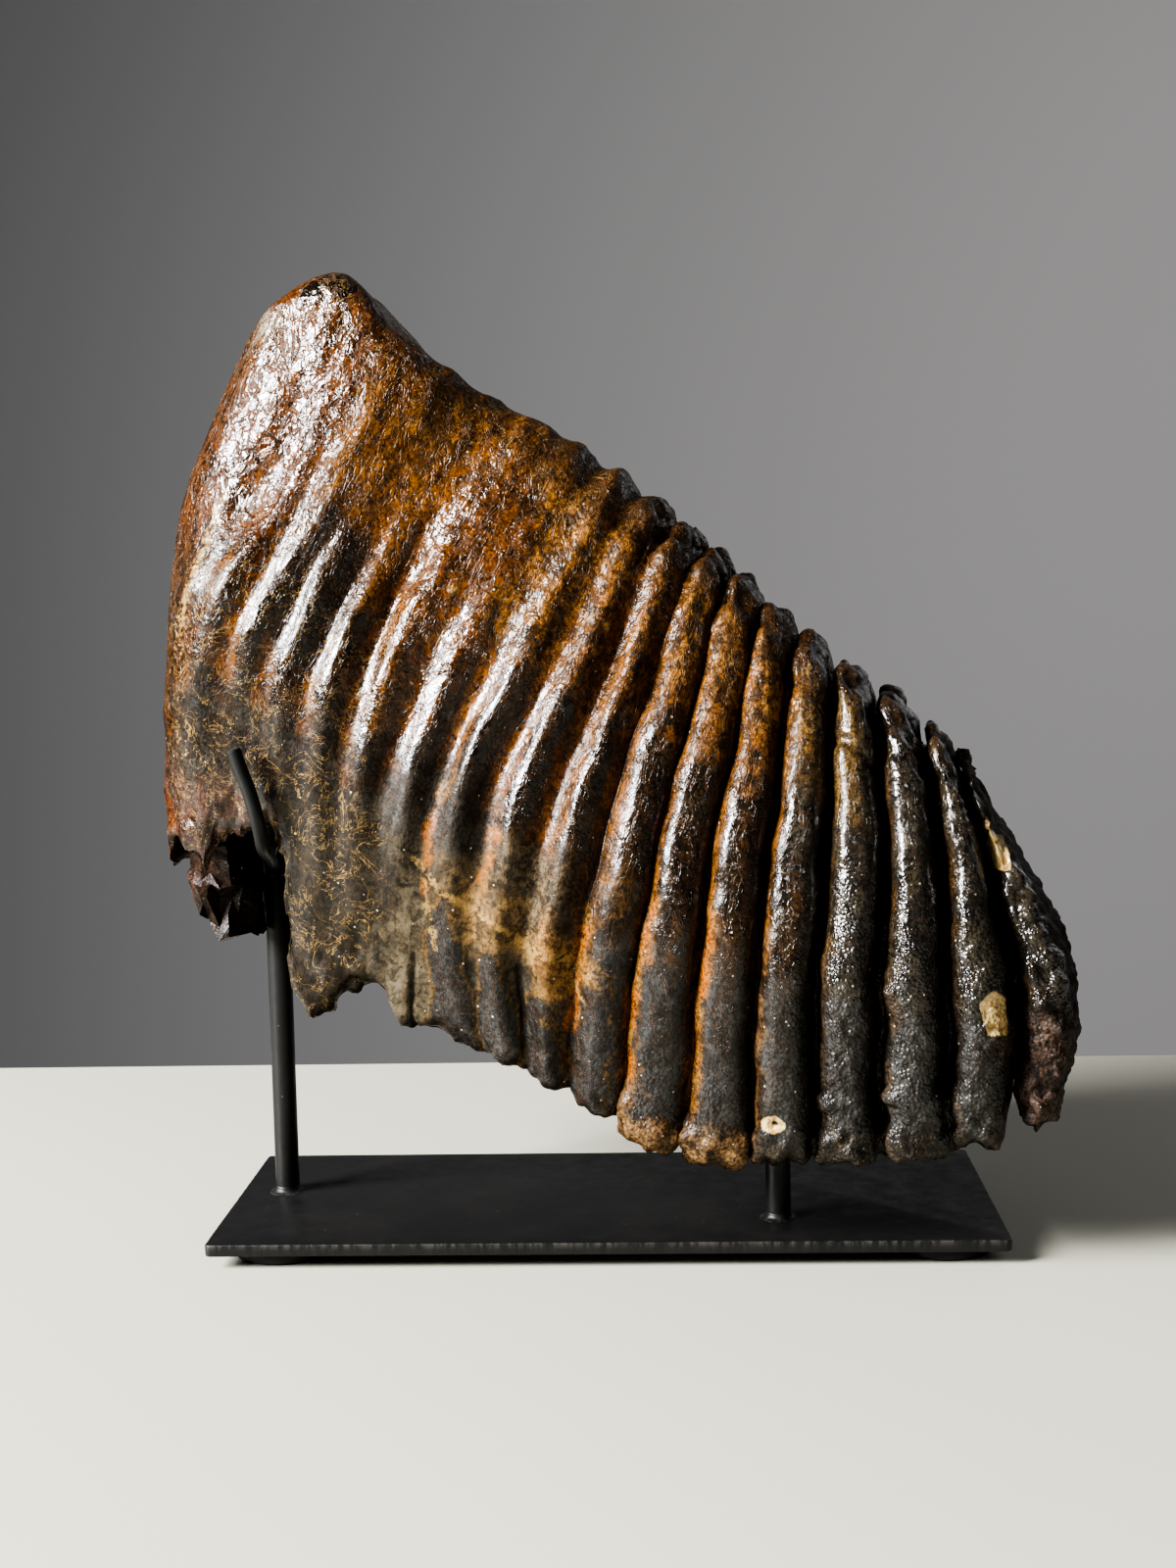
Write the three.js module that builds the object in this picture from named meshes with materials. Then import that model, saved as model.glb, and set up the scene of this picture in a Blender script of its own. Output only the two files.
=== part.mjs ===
// A fossil mammoth cheek tooth on a black steel display stand.
// Millimetres, +Z up, +X to the rear plates of the tooth, -Y to the side that is shown.
import * as THREE from 'three';
import { mergeVertices } from 'three/addons/utils/BufferGeometryUtils.js';

// ---- stand: driving dimensions ----
const BASE_LENGTH = 200;
const BASE_DEPTH = 80;
const BASE_THICKNESS = 3;
const BASE_CORNER_RADIUS = 1.6;
const BASE_EDGE_BREAK = 0.3;
const FOOT_RADIUS = 12.3;
const FOOT_HEIGHT = 3.5;
const FOOT_EDGE_RADIUS = 0.8;
const FOOT_SPACING_X = 168;
const FOOT_SPACING_Y = 49;
const FOOT_OFFSET_X = 1;
const POST_RADIUS = 3.2;
const PRONG_RADIUS = 1.8;
const LEFT_POST = { x: -87.7, y: 5.9, height: 86 };
const RIGHT_POST = { x: 43.8, y: -20.4, height: 26.2 };
const TOUCH_GAP = 0.3;

// Places on the stand and heights above it are measured from the middle of the plate's top face.
const BASE_TOP = FOOT_HEIGHT + BASE_THICKNESS;
// Brings the middle of the whole object over the origin.
const MODEL_SHIFT = { x: -2.6, y: 2.5 };

// ---- tooth: driving dimensions ----
const PLATE_COUNT = 18;
const TOOTH_YAW = THREE.MathUtils.degToRad(-8);
const TOOTH_OFFSET_Y = -6.3;
const HALF_THICKNESS = 42;

// Guide lines of the enamel plates. `plate` counts plates from the front of the tooth, and the
// five [x, z] points run from the root end to the chewing surface at equal steps.
const GUIDE_LINES = [
  { plate: 0, points: [[-114, 79], [-113.5, 112], [-111, 147], [-107.5, 184], [-87, 229]] },
  { plate: 1.5, points: [[-100, 64], [-94, 114], [-88, 154], [-75, 193], [-60, 240.5]] },
  { plate: 3, points: [[-86, 56], [-81, 106], [-74, 147], [-60, 185], [-43.5, 225]] },
  { plate: 4.5, points: [[-71, 51], [-67, 97], [-60, 139], [-45, 177], [-26, 211]] },
  { plate: 7.5, points: [[-33, 45], [-33, 86], [-25, 122], [-8, 156], [9, 191]] },
  { plate: 10.5, points: [[0, 28], [6, 64], [13, 101], [23, 136], [32, 170]] },
  { plate: 13.5, points: [[48, 19], [49.5, 53], [52, 85], [54.5, 116], [56, 148]] },
  { plate: 16.5, points: [[97, 22], [95.5, 51], [95, 76], [92, 100], [85.5, 125]] },
  { plate: 18, points: [[114, 27], [119.5, 50], [117.5, 71], [107.5, 95], [96, 115]] },
];

// Lower edge of the tooth as [x, z], front wall and back wall.
const FRONT_HEM = [
  [-116, 81], [-113.5, 81], [-112, 84], [-109, 104], [-103, 107], [-92, 102], [-76.5, 104],
  [-74, 90], [-73.5, 62], [-71, 54], [-66, 56], [-60, 61], [-52, 63], [-46, 53], [-39, 51],
  [-16, 41], [-2, 34], [10, 28.5], [13, 22], [22, 18.5], [38, 18], [50, 21.5], [66, 20.5],
  [92, 24], [104, 27], [108, 29.5], [112, 31], [120, 34],
];
const BACK_HEM = [
  [-116, 81], [-113.5, 81], [-110, 77], [-105, 68], [-102, 69], [-99.5, 99], [-85, 100],
  [-82, 60], [-74, 54], [-64, 60], [-52, 58], [-39, 50], [-16, 41], [0, 33], [22, 22], [60, 20],
  [92, 24], [108, 29.5], [112, 31], [120, 34],
];

// ---- small numeric helpers ----
const clamp01 = (t) => Math.min(1, Math.max(0, t));

function smoothStep(low, high, t) {
  const s = clamp01((t - low) / (high - low));
  return s * s * (3 - 2 * s);
}

// Straight-line interpolation through [place, value] pairs.
function alongPairs(pairs, place) {
  if (place <= pairs[0][0]) return pairs[0][1];
  for (let i = 1; i < pairs.length; i += 1) {
    const [start, from] = pairs[i - 1];
    const [end, to] = pairs[i];
    if (place <= end) return from + ((to - from) * (place - start)) / (end - start);
  }
  return pairs[pairs.length - 1][1];
}

// Smooth curve through values at unequal knots, with each slope taken from its neighbours.
function throughKnots(knots, values, t) {
  const last = knots.length - 1;
  let k = 0;
  while (k < last - 1 && t > knots[k + 1]) k += 1;
  const slope = (i) => {
    const a = Math.max(0, i - 1);
    const b = Math.min(last, i + 1);
    return (values[b] - values[a]) / (knots[b] - knots[a]);
  };
  const span = knots[k + 1] - knots[k];
  const s = (t - knots[k]) / span;
  const rise = values[k] * (1 + 2 * s) * (1 - s) ** 2 + values[k + 1] * s * s * (3 - 2 * s);
  return rise + span * (slope(k) * s * (1 - s) ** 2 + slope(k + 1) * s * s * (s - 1));
}

// Quarter of a superellipse: 1 in the middle, falling to 0 at reach 1.
function roundedFall(reach, power) {
  return (1 - clamp01(reach) ** power) ** (1 / power);
}

// ---- tooth surface ----
const GUIDE_PLATES = GUIDE_LINES.map((line) => line.plate);
const GUIDE_STEPS = [0, 0.25, 0.5, 0.75, 1];

// Point [x, z] on the middle plane at a plate coordinate, `rise` running 0 to 1 from root to crest.
function guidePoint(plate, rise) {
  return [0, 1].map((axis) => {
    const atPlates = GUIDE_LINES.map((line) =>
      throughKnots(GUIDE_STEPS, line.points.map((point) => point[axis]), rise));
    return throughKnots(GUIDE_PLATES, atPlates, plate);
  });
}

function guideLength(plate) {
  const steps = 8;
  let length = 0;
  let [x, z] = guidePoint(plate, 0);
  for (let i = 1; i <= steps; i += 1) {
    const [nextX, nextZ] = guidePoint(plate, i / steps);
    length += Math.hypot(nextX - x, nextZ - z);
    [x, z] = [nextX, nextZ];
  }
  return length;
}

// Where along its guide line a plate meets the lower edge.
function hemRise(plate, hem) {
  let low = 0;
  let high = 0.6;
  for (let i = 0; i < 18; i += 1) {
    const middle = (low + high) / 2;
    const [x, z] = guidePoint(plate, middle);
    if (z < alongPairs(hem, x)) low = middle;
    else high = middle;
  }
  return (low + high) / 2;
}

// 1 on the ridge of a plate and 0 in the groove between two plates.
function ridgeProfile(plate) {
  const outerHalfOfEndPlate = plate < 0.5 || plate > PLATE_COUNT - 0.5;
  if (outerHalfOfEndPlate) return 1;
  const acrossPlate = 2 * (plate - Math.floor(plate)) - 1;
  return roundedFall(Math.abs(acrossPlate), 2.4);
}

// Depth of the grooves: deep between the rear plates, filled with cement near the front and roots.
function grooveDepth(plate, rise) {
  const depth = alongPairs([[0, 1.2], [4, 2.2], [7, 3.4], [10, 4.6], [12, 6], [14, 8], [18, 9]], plate);
  const wornTop = smoothStep(0.6, 0.88, rise) * (1 - smoothStep(6, 9, plate));
  const cementFoot = (1 - smoothStep(0.15, 0.42, rise)) * (1 - smoothStep(6.5, 9.5, plate));
  return depth * (1 - 0.75 * wornTop) * (1 - 0.8 * cementFoot);
}

const LOWER_NOTCHES = [[0, 0], [6, 1], [8, 2], [10, 3], [12, 3.5], [16.6, 5], [17, 15], [18, 15]];
const CREST_NOTCHES = [[0, 0.4], [6, 0.8], [7.5, 3], [10, 4], [14, 5], [18, 7]];

// Half the thickness of the tooth, before the grooves are cut.
function halfThickness(plate, rise) {
  const frontEnd = roundedFall(1 - Math.min(1, plate / 2.5), 2.2);
  const rearEnd = roundedFall((plate - 13) / (PLATE_COUNT - 13), 2.6);
  const towardsCrest = 1 - 0.45 * clamp01((rise - 0.42) / 0.58) ** 2;
  const towardsRoots = 1 - 0.2 * clamp01((0.42 - rise) / 0.42) ** 2;
  return HALF_THICKNESS * frontEnd * rearEnd * towardsCrest * towardsRoots;
}

const LIP = { rise: 5, run: 6 };
const SHOULDER = { rise: 15, run: 15 };
const CEILING_HEIGHTS = [[0, 0], [0.4, 4], [1, 6], [3, 4], [6, 5], [18, 6]];
const RING_COUNTS = { lip: 2, face: 7, shoulder: 3, crest: 4, ceiling: 8 };

// One side of a ring from its lower lip to the crest, as [rise, distance from the middle plane].
function ringSide(plate, length, hem) {
  const ridge = ridgeProfile(plate);
  const low = hemRise(plate, hem) + (alongPairs(LOWER_NOTCHES, plate) * (1 - ridge)) / length;
  const high = 1 - (alongPairs(CREST_NOTCHES, plate) * (1 - ridge)) / length;
  const thickness = (rise) =>
    Math.max(halfThickness(plate, rise) - grooveDepth(plate, rise) * (1 - ridge), 0);
  const lipRun = Math.min(LIP.run, 0.35 * thickness(low));
  const shoulderRun = Math.min(SHOULDER.run, 0.5 * thickness(high));
  const lipTop = low + LIP.rise / length;
  const shoulderFoot = high - SHOULDER.rise / length;
  const side = [];
  for (let i = 0; i < RING_COUNTS.lip; i += 1) {
    const angle = (i / RING_COUNTS.lip) * (Math.PI / 2);
    const rise = lipTop - (lipTop - low) * Math.cos(angle);
    side.push([rise, thickness(rise) - lipRun * (1 - Math.sin(angle))]);
  }
  for (let i = 0; i < RING_COUNTS.face; i += 1) {
    const rise = lipTop + ((shoulderFoot - lipTop) * i) / RING_COUNTS.face;
    side.push([rise, thickness(rise)]);
  }
  for (let i = 0; i <= RING_COUNTS.shoulder; i += 1) {
    const angle = (i / RING_COUNTS.shoulder) * (Math.PI / 2);
    const rise = shoulderFoot + (high - shoulderFoot) * Math.sin(angle);
    side.push([rise, thickness(rise) - shoulderRun * (1 - Math.cos(angle))]);
  }
  return side;
}

// Closed ring of one plate coordinate: front side up, crest, back side down, hollow underside.
function toothRing(plate) {
  const length = guideLength(plate);
  const front = ringSide(plate, length, FRONT_HEM);
  const back = ringSide(plate, length, BACK_HEM);
  const ring = front.map(([rise, off]) => [rise, off]);
  const [crestRise, frontTop] = front[front.length - 1];
  const backTop = back[back.length - 1][1];
  for (let i = 1; i < RING_COUNTS.crest; i += 1) {
    const share = i / RING_COUNTS.crest;
    ring.push([crestRise, frontTop - (frontTop + backTop) * share]);
  }
  ring.push(...back.map(([rise, off]) => [rise, -off]).reverse());
  const [frontLip, frontLipOff] = front[0];
  const [backLip, backLipOff] = back[0];
  const ceiling = Math.max(frontLip, backLip) + alongPairs(CEILING_HEIGHTS, plate) / length;
  for (let i = 1; i < RING_COUNTS.ceiling; i += 1) {
    const across = -Math.cos((i / RING_COUNTS.ceiling) * Math.PI);
    const off = across < 0 ? across * backLipOff : across * frontLipOff;
    const lip = across < 0 ? backLip : frontLip;
    ring.push([lip + (ceiling - lip) * (1 - Math.abs(across) ** 5), off]);
  }
  return ring.map(([rise, off]) => {
    const [x, z] = guidePoint(plate, rise);
    return new THREE.Vector3(x, -off, z);
  });
}

// Plate coordinates of the rings: close together at the walls of each groove.
function ringPlates() {
  const acrossPlate = [0, 0.14, 0.32, 0.5, 0.68, 0.86];
  const plates = [];
  for (let plate = 0; plate < PLATE_COUNT; plate += 1) {
    plates.push(...acrossPlate.map((share) => plate + share));
  }
  return [...plates, PLATE_COUNT];
}

// Closed skin over rings; the first and last rings are flat seams whose two sides are welded.
function skinRings(rings) {
  const count = rings[0].length;
  const positions = rings.flat().flatMap((point) => point.toArray());
  const triangles = [];
  for (let r = 0; r < rings.length - 1; r += 1) {
    for (let i = 0; i < count; i += 1) {
      const a = r * count + i;
      const b = r * count + ((i + 1) % count);
      triangles.push(a, a + count, b + count, a, b + count, b);
    }
  }
  const raw = new THREE.BufferGeometry();
  raw.setAttribute('position', new THREE.Float32BufferAttribute(positions, 3));
  raw.setIndex(triangles);
  const welded = mergeVertices(raw, 1e-3);
  const index = welded.getIndex().array;
  const kept = [];
  for (let i = 0; i < index.length; i += 3) {
    const [a, b, c] = index.slice(i, i + 3);
    if (a !== b && b !== c && c !== a) kept.push(a, b, c);
  }
  welded.setIndex(kept);
  welded.computeVertexNormals();
  return welded;
}

function toothGeometry() {
  return skinRings(ringPlates().map(toothRing));
}

// ---- stand pieces ----
function roundedRectangle(length, depth, radius) {
  const x = length / 2 - radius;
  const y = depth / 2 - radius;
  const shape = new THREE.Shape();
  shape.absarc(x, y, radius, 0, Math.PI / 2, false);
  shape.absarc(-x, y, radius, Math.PI / 2, Math.PI, false);
  shape.absarc(-x, -y, radius, Math.PI, 1.5 * Math.PI, false);
  shape.absarc(x, -y, radius, 1.5 * Math.PI, 2 * Math.PI, false);
  return shape;
}

function basePlateGeometry() {
  const inset = 2 * BASE_EDGE_BREAK;
  const shape = roundedRectangle(BASE_LENGTH - inset, BASE_DEPTH - inset, BASE_CORNER_RADIUS);
  const geometry = new THREE.ExtrudeGeometry(shape, {
    depth: BASE_THICKNESS - inset,
    bevelThickness: BASE_EDGE_BREAK,
    bevelSize: BASE_EDGE_BREAK,
    bevelSegments: 1,
    curveSegments: 3,
  });
  return geometry.translate(0, 0, BASE_EDGE_BREAK);
}

// Round bar standing on z = 0.
function postGeometry(height) {
  const sides = 20;
  const geometry = new THREE.CylinderGeometry(POST_RADIUS, POST_RADIUS, height, sides);
  return geometry.rotateX(Math.PI / 2).translate(0, 0, height / 2);
}

function prongGeometry(points) {
  const quarterSides = 4;
  const steps = 16;
  const section = new THREE.Shape();
  section.absarc(0, 0, PRONG_RADIUS, 0, 2 * Math.PI, false);
  const path = new THREE.CatmullRomCurve3(points.map(([x, y, z]) => new THREE.Vector3(x, y, z)));
  return new THREE.ExtrudeGeometry(section, { steps, extrudePath: path, curveSegments: quarterSides });
}

function footGeometry() {
  const edge = [0, 1, 2].map((step) => {
    const angle = (step / 2) * (Math.PI / 2);
    const radius = FOOT_RADIUS - FOOT_EDGE_RADIUS * (1 - Math.sin(angle));
    return new THREE.Vector2(radius, FOOT_EDGE_RADIUS * (1 - Math.cos(angle)));
  });
  const profile = [
    new THREE.Vector2(0, 0),
    ...edge,
    new THREE.Vector2(FOOT_RADIUS, FOOT_HEIGHT),
    new THREE.Vector2(0, FOOT_HEIGHT),
  ];
  return new THREE.LatheGeometry(profile, 24).rotateX(Math.PI / 2);
}

// ---- materials ----
const enamel = new THREE.MeshStandardMaterial({ color: 0x4a2d16, roughness: 0.28, metalness: 0 });
const blackSteel = new THREE.MeshStandardMaterial({ color: 0x1b1c1e, roughness: 0.45, metalness: 0.4 });
const footRubber = new THREE.MeshStandardMaterial({ color: 0x0d0d0e, roughness: 0.85, metalness: 0 });

// ---- assembly ----
const PRONG_START = LEFT_POST.height + TOUCH_GAP;
const FRONT_PRONG_PATH = [
  [-88.2, 4, PRONG_START], [-88.1, 3.7, 88.4], [-87.6, -0.5, 90.4], [-86.6, -7, 92.2],
  [-84.9, -18, 95.3], [-83.4, -30, 98.6], [-82.9, -37, 105], [-84.5, -38.5, 113],
  [-86.4, -38.8, 118.6], [-87.9, -39, 123.6],
];
const BACK_PRONG_PATH = [
  [-87.2, 7.8, PRONG_START], [-87.2, 8.1, 88.4], [-87.3, 12, 90], [-87.4, 19, 91.2],
  [-88, 30, 93.4], [-88.6, 39, 95.2], [-88.5, 46, 99.4], [-87.6, 49, 106.5],
  [-86.4, 49.6, 114], [-84.5, 49.4, 122],
];

function named(name, geometry, material) {
  const mesh = new THREE.Mesh(geometry, material);
  mesh.name = name;
  return mesh;
}

function buildFeet() {
  const feet = new THREE.Group();
  for (const [row, ySign] of [['front', -1], ['back', 1]]) {
    for (const [side, xSign] of [['left', -1], ['right', 1]]) {
      const foot = named(`foot_${row}_${side}`, footGeometry(), footRubber);
      foot.position.x = FOOT_OFFSET_X + (xSign * FOOT_SPACING_X) / 2;
      foot.position.y = (ySign * FOOT_SPACING_Y) / 2;
      feet.add(foot);
    }
  }
  return feet;
}

function buildStand() {
  const stand = new THREE.Group();
  const base = named('base_plate', basePlateGeometry(), blackSteel);
  base.position.z = FOOT_HEIGHT;
  const onPlate = new THREE.Group();
  onPlate.position.z = BASE_TOP;
  for (const [name, post] of [['left_post', LEFT_POST], ['right_post', RIGHT_POST]]) {
    const mesh = named(name, postGeometry(post.height), blackSteel);
    mesh.position.set(post.x, post.y, 0);
    onPlate.add(mesh);
  }
  onPlate.add(named('front_prong', prongGeometry(FRONT_PRONG_PATH), blackSteel));
  onPlate.add(named('back_prong', prongGeometry(BACK_PRONG_PATH), blackSteel));
  stand.add(base, onPlate, buildFeet());
  return stand;
}

function buildTooth() {
  const tooth = named('tooth', toothGeometry(), enamel);
  tooth.position.set(0, TOOTH_OFFSET_Y, BASE_TOP);
  tooth.rotation.z = TOOTH_YAW;
  return tooth;
}

const model = new THREE.Group();
model.add(buildStand(), buildTooth());
model.position.set(MODEL_SHIFT.x, MODEL_SHIFT.y, 0);

export default model;
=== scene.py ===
"""Looks of a fossil mammoth tooth that rests on a black steel stand with rubber feet.

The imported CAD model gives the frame: where the plate, the rods and the tooth are. Lengths in this
file are millimetres, and they become metres when a mesh is made. The tooth is skinned over the same
guide lines as its CAD solid, with its ridges, wrinkles, broken edges and chips as real relief.
"""

import logging
import math
from dataclasses import dataclass, field
from enum import Enum
from functools import reduce
from itertools import product

import bpy
import numpy as np
from mathutils import Matrix, Vector


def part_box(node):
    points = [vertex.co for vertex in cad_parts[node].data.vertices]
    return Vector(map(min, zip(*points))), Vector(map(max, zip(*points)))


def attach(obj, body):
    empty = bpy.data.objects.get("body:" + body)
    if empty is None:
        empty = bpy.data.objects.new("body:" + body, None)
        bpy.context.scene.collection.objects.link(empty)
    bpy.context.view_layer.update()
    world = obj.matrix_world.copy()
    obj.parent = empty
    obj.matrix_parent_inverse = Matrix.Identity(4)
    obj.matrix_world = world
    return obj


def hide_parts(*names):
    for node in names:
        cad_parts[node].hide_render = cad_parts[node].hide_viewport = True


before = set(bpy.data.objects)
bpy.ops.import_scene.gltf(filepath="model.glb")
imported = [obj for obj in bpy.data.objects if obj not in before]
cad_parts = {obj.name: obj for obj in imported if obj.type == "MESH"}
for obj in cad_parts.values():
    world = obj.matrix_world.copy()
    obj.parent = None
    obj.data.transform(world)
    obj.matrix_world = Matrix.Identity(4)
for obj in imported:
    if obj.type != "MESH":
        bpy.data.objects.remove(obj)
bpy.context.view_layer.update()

LOG = logging.getLogger("fossil_tooth")
MM = 0.001
ROOT_BODY = "root"
FAR = 99.0
SHARP_EDGE = math.radians(50)

Array = np.ndarray
Point = tuple[float, float]
Pairs = tuple[Point, ...]
Place = tuple[float, float, float]
Faces = list[tuple[int, ...]]
Piece = bpy.types.Object
Material = bpy.types.Material


# ---- numeric helpers ----


def ramp(low: float, high: float, values: Array) -> Array:
    """Rises smoothly from 0 at low to 1 at high, or falls where low is the larger one."""
    share = np.clip((values - low) / (high - low), 0, 1)
    return share * share * (3 - 2 * share)


def band(low: float, high: float, soft: float, values: Array) -> Array:
    """Is 1 between low and high and fades to 0 over the soft width on each side."""
    return ramp(low - soft, low, values) * (1 - ramp(high, high + soft, values))


def follow(pairs: Pairs, place: Array) -> Array:
    """Interpolates straight lines through pairs of place and value."""
    return np.interp(place, [pair[0] for pair in pairs], [pair[1] for pair in pairs])


def rounded_fall(reach: Array, power: Array | float) -> Array:
    """Follows a quarter of a superellipse: 1 in the middle, falling to 0 at reach 1."""
    return (1 - np.clip(reach, 0, 1) ** power) ** (1 / np.asarray(power))


def through_knots(knots: Array, values: Array, place: Array) -> Array:
    """Draws a smooth curve through values, with each slope taken from its neighbours.

    Args:
        knots: Rising places of the values.
        values: One value per knot, or one row of values per knot as long as place.
        place: Where the curve is wanted.

    Returns:
        The curve at each place.
    """
    last = len(knots) - 1
    before = [max(0, i - 1) for i in range(last + 1)]
    after = [min(last, i + 1) for i in range(last + 1)]
    if values.ndim == 1:
        values = np.repeat(values[:, None], len(place), axis=1)
    slopes = (values[after] - values[before]) / (knots[after] - knots[before])[:, None]
    k = np.clip(np.searchsorted(knots, place) - 1, 0, last - 1)
    span = knots[k + 1] - knots[k]
    s = (place - knots[k]) / span
    column = np.arange(len(place))
    start, end = values[k, column], values[k + 1, column]
    leave, arrive = slopes[k, column], slopes[k + 1, column]
    curve = start * (1 + 2 * s) * (1 - s) ** 2 + end * s * s * (3 - 2 * s)
    return curve + span * (leave * s * (1 - s) ** 2 + arrive * s * s * (s - 1))


class LatticeNoise:
    """Seeded noise in space, sampled on arrays of points."""

    def __init__(self, seed: int) -> None:
        """Draws the lattice's gradients and cell seats.

        Args:
            seed: Makes one noise differ from another.
        """
        draw = np.random.default_rng(seed)
        self.order = draw.permutation(256)
        gradients = draw.normal(size=(256, 3))
        self.gradients = gradients / np.linalg.norm(gradients, axis=1, keepdims=True)
        self.seats = draw.random((256, 3))

    def _hash(self, cell: Array) -> Array:
        """Gives each lattice cell a number from 0 to 255."""
        x, y, z = (cell[..., axis] & 255 for axis in range(3))
        return self.order[(self.order[(self.order[x] + y) & 255] + z) & 255]

    def smooth(self, points: Array, size: float | Array) -> Array:
        """Samples gradient noise.

        Args:
            points: Places, one row each.
            size: Spacing of the lattice, one for all or one per axis.

        Returns:
            Values between about -1 and 1.
        """
        place = points / size
        cell = np.floor(place).astype(int)
        inside = place - cell
        fade = inside**3 * (inside * (inside * 6 - 15) + 10)
        total = np.zeros(points.shape[:-1])
        for corner in map(np.array, product((0, 1), repeat=3)):
            weight = np.prod(np.where(corner == 1, fade, 1 - fade), axis=-1)
            slope = self.gradients[self._hash(cell + corner)]
            total += weight * np.einsum("...k,...k->...", slope, inside - corner)
        return total * 1.6

    def fractal(self, points: Array, size: float | Array, octaves: int) -> Array:
        """Adds up noise whose size and strength halve from octave to octave."""
        layers = [self.smooth(points + 31.7 * i, size * 0.5**i) * 0.5**i for i in range(octaves)]
        return np.sum(layers, axis=0)

    def cells(self, points: Array, size: float | Array) -> tuple[Array, Array]:
        """Measures the distance to the nearest and the second nearest cell seat.

        Args:
            points: Places, one row each.
            size: Mean spacing of the seats.

        Returns:
            Both distances, as shares of the spacing.
        """
        place = points / size
        cell = np.floor(place).astype(int)
        nearest = np.full(points.shape[:-1], np.inf)
        second = nearest.copy()
        for shift in map(np.array, product((-1, 0, 1), repeat=3)):
            neighbour = cell + shift
            seat = neighbour + self.seats[self._hash(neighbour)]
            gap = np.linalg.norm(place - seat, axis=-1)
            second = np.minimum(second, np.maximum(nearest, gap))
            nearest = np.minimum(nearest, gap)
        return nearest, second


# ---- mesh helpers ----


def new_piece(name: str, points: Array, faces: Faces | Array) -> Piece:
    """Makes a mesh object from points in millimetres and links it to the scene.

    Args:
        name: Name of the piece and of its mesh.
        points: One row per vertex.
        faces: Vertex numbers of each face.

    Returns:
        The new object, with smooth faces.
    """
    mesh = bpy.data.meshes.new(name)
    rows = faces.tolist() if isinstance(faces, np.ndarray) else faces
    mesh.from_pydata((np.asarray(points) * MM).tolist(), [], rows)
    mesh.polygons.foreach_set("use_smooth", [True] * len(mesh.polygons))
    mesh.update()
    piece = bpy.data.objects.new(name, mesh)
    bpy.context.scene.collection.objects.link(piece)
    return piece


def give_numbers(piece: Piece, name: str, values: Array) -> None:
    """Stores one number or one vector per vertex for the material to read."""
    kind, key = ("FLOAT", "value") if values.ndim == 1 else ("FLOAT_VECTOR", "vector")
    piece.data.attributes.new(name, kind, "POINT").data.foreach_set(key, values.astype(np.float32).ravel())


def place_piece(piece: Piece, slot: str, *nodes: str) -> None:
    """Lets a piece ride on the one body, hides the CAD nodes that it stands for and logs its slot.

    Args:
        piece: The piece.
        slot: Name of its material slot, for the log.
        nodes: CAD nodes that it replaces.
    """
    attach(piece, ROOT_BODY)
    if nodes:
        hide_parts(*nodes)
    LOG.info("%s: %d faces, slot %s", piece.name, len(piece.data.polygons), slot)


def corner_normals(points: Array, triangles: Array) -> Array:
    """Averages the normals of the triangles round each vertex, weighted by area.

    Args:
        points: One row per vertex.
        triangles: Three vertex numbers per row.

    Returns:
        One unit normal per vertex.
    """
    a, b, c = (points[triangles[:, i]] for i in range(3))
    face = np.cross(b - a, c - a)
    total = np.zeros_like(points)
    for axis in range(3):
        for corner in range(3):
            total[:, axis] += np.bincount(triangles[:, corner], face[:, axis], len(points))
    return total / np.maximum(np.linalg.norm(total, axis=1, keepdims=True), 1e-9)


def ring_faces(rings: int, sides: int) -> Faces:
    """Joins rings of vertices into a tube with flat ends.

    Args:
        rings: Number of rings.
        sides: Vertices of each ring.

    Returns:
        The faces, with the two ends last.
    """
    faces = []
    for r in range(rings - 1):
        for i in range(sides):
            j = (i + 1) % sides
            faces.append((r * sides + i, r * sides + j, (r + 1) * sides + j, (r + 1) * sides + i))
    faces.append(tuple(range(sides))[::-1])
    faces.append(tuple((rings - 1) * sides + i for i in range(sides)))
    return faces


def node_box(node: str) -> tuple[Array, Array, Array]:
    """Gives the low corner, the high corner and the middle of a CAD node's box, in millimetres."""
    low, high = (np.array(corner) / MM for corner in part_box(node))
    return low, high, (low + high) / 2


def swept_rod(path: Array, radius: float, sides: int) -> tuple[Array, Faces]:
    """Sweeps a round section along a path, with flat ends.

    Args:
        path: Places along the middle of the rod.
        radius: Radius of the section.
        sides: Sides of the section.

    Returns:
        The vertices and the faces.
    """
    tangents = np.gradient(path, axis=0)
    tangents /= np.linalg.norm(tangents, axis=1, keepdims=True)
    across = np.cross(tangents[0], [1.0, 0.0, 0.0])
    angles = np.linspace(0, 2 * np.pi, sides, endpoint=False)
    rings = []
    for centre, tangent in zip(path, tangents):
        across = across - tangent * (across @ tangent)
        across /= np.linalg.norm(across)
        other = np.cross(tangent, across)
        rings.append(centre + radius * (np.outer(np.cos(angles), across) + np.outer(np.sin(angles), other)))
    return np.concatenate(rings), ring_faces(len(path), sides)


def turned_body(profile: list[Point], sides: int) -> tuple[Array, Faces]:
    """Turns a profile of radius and height round the Z axis, closed at both ends.

    Args:
        profile: Radius and height of each ring, from the lowest to the highest.
        sides: Steps round the axis.

    Returns:
        The vertices and the faces.
    """
    angles = np.linspace(0, 2 * np.pi, sides, endpoint=False)
    rings = [np.stack([r * np.cos(angles), r * np.sin(angles), np.full(sides, z)], axis=1)
             for r, z in profile]
    return np.concatenate(rings), ring_faces(len(profile), sides)


# ---- finishes ----


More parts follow.
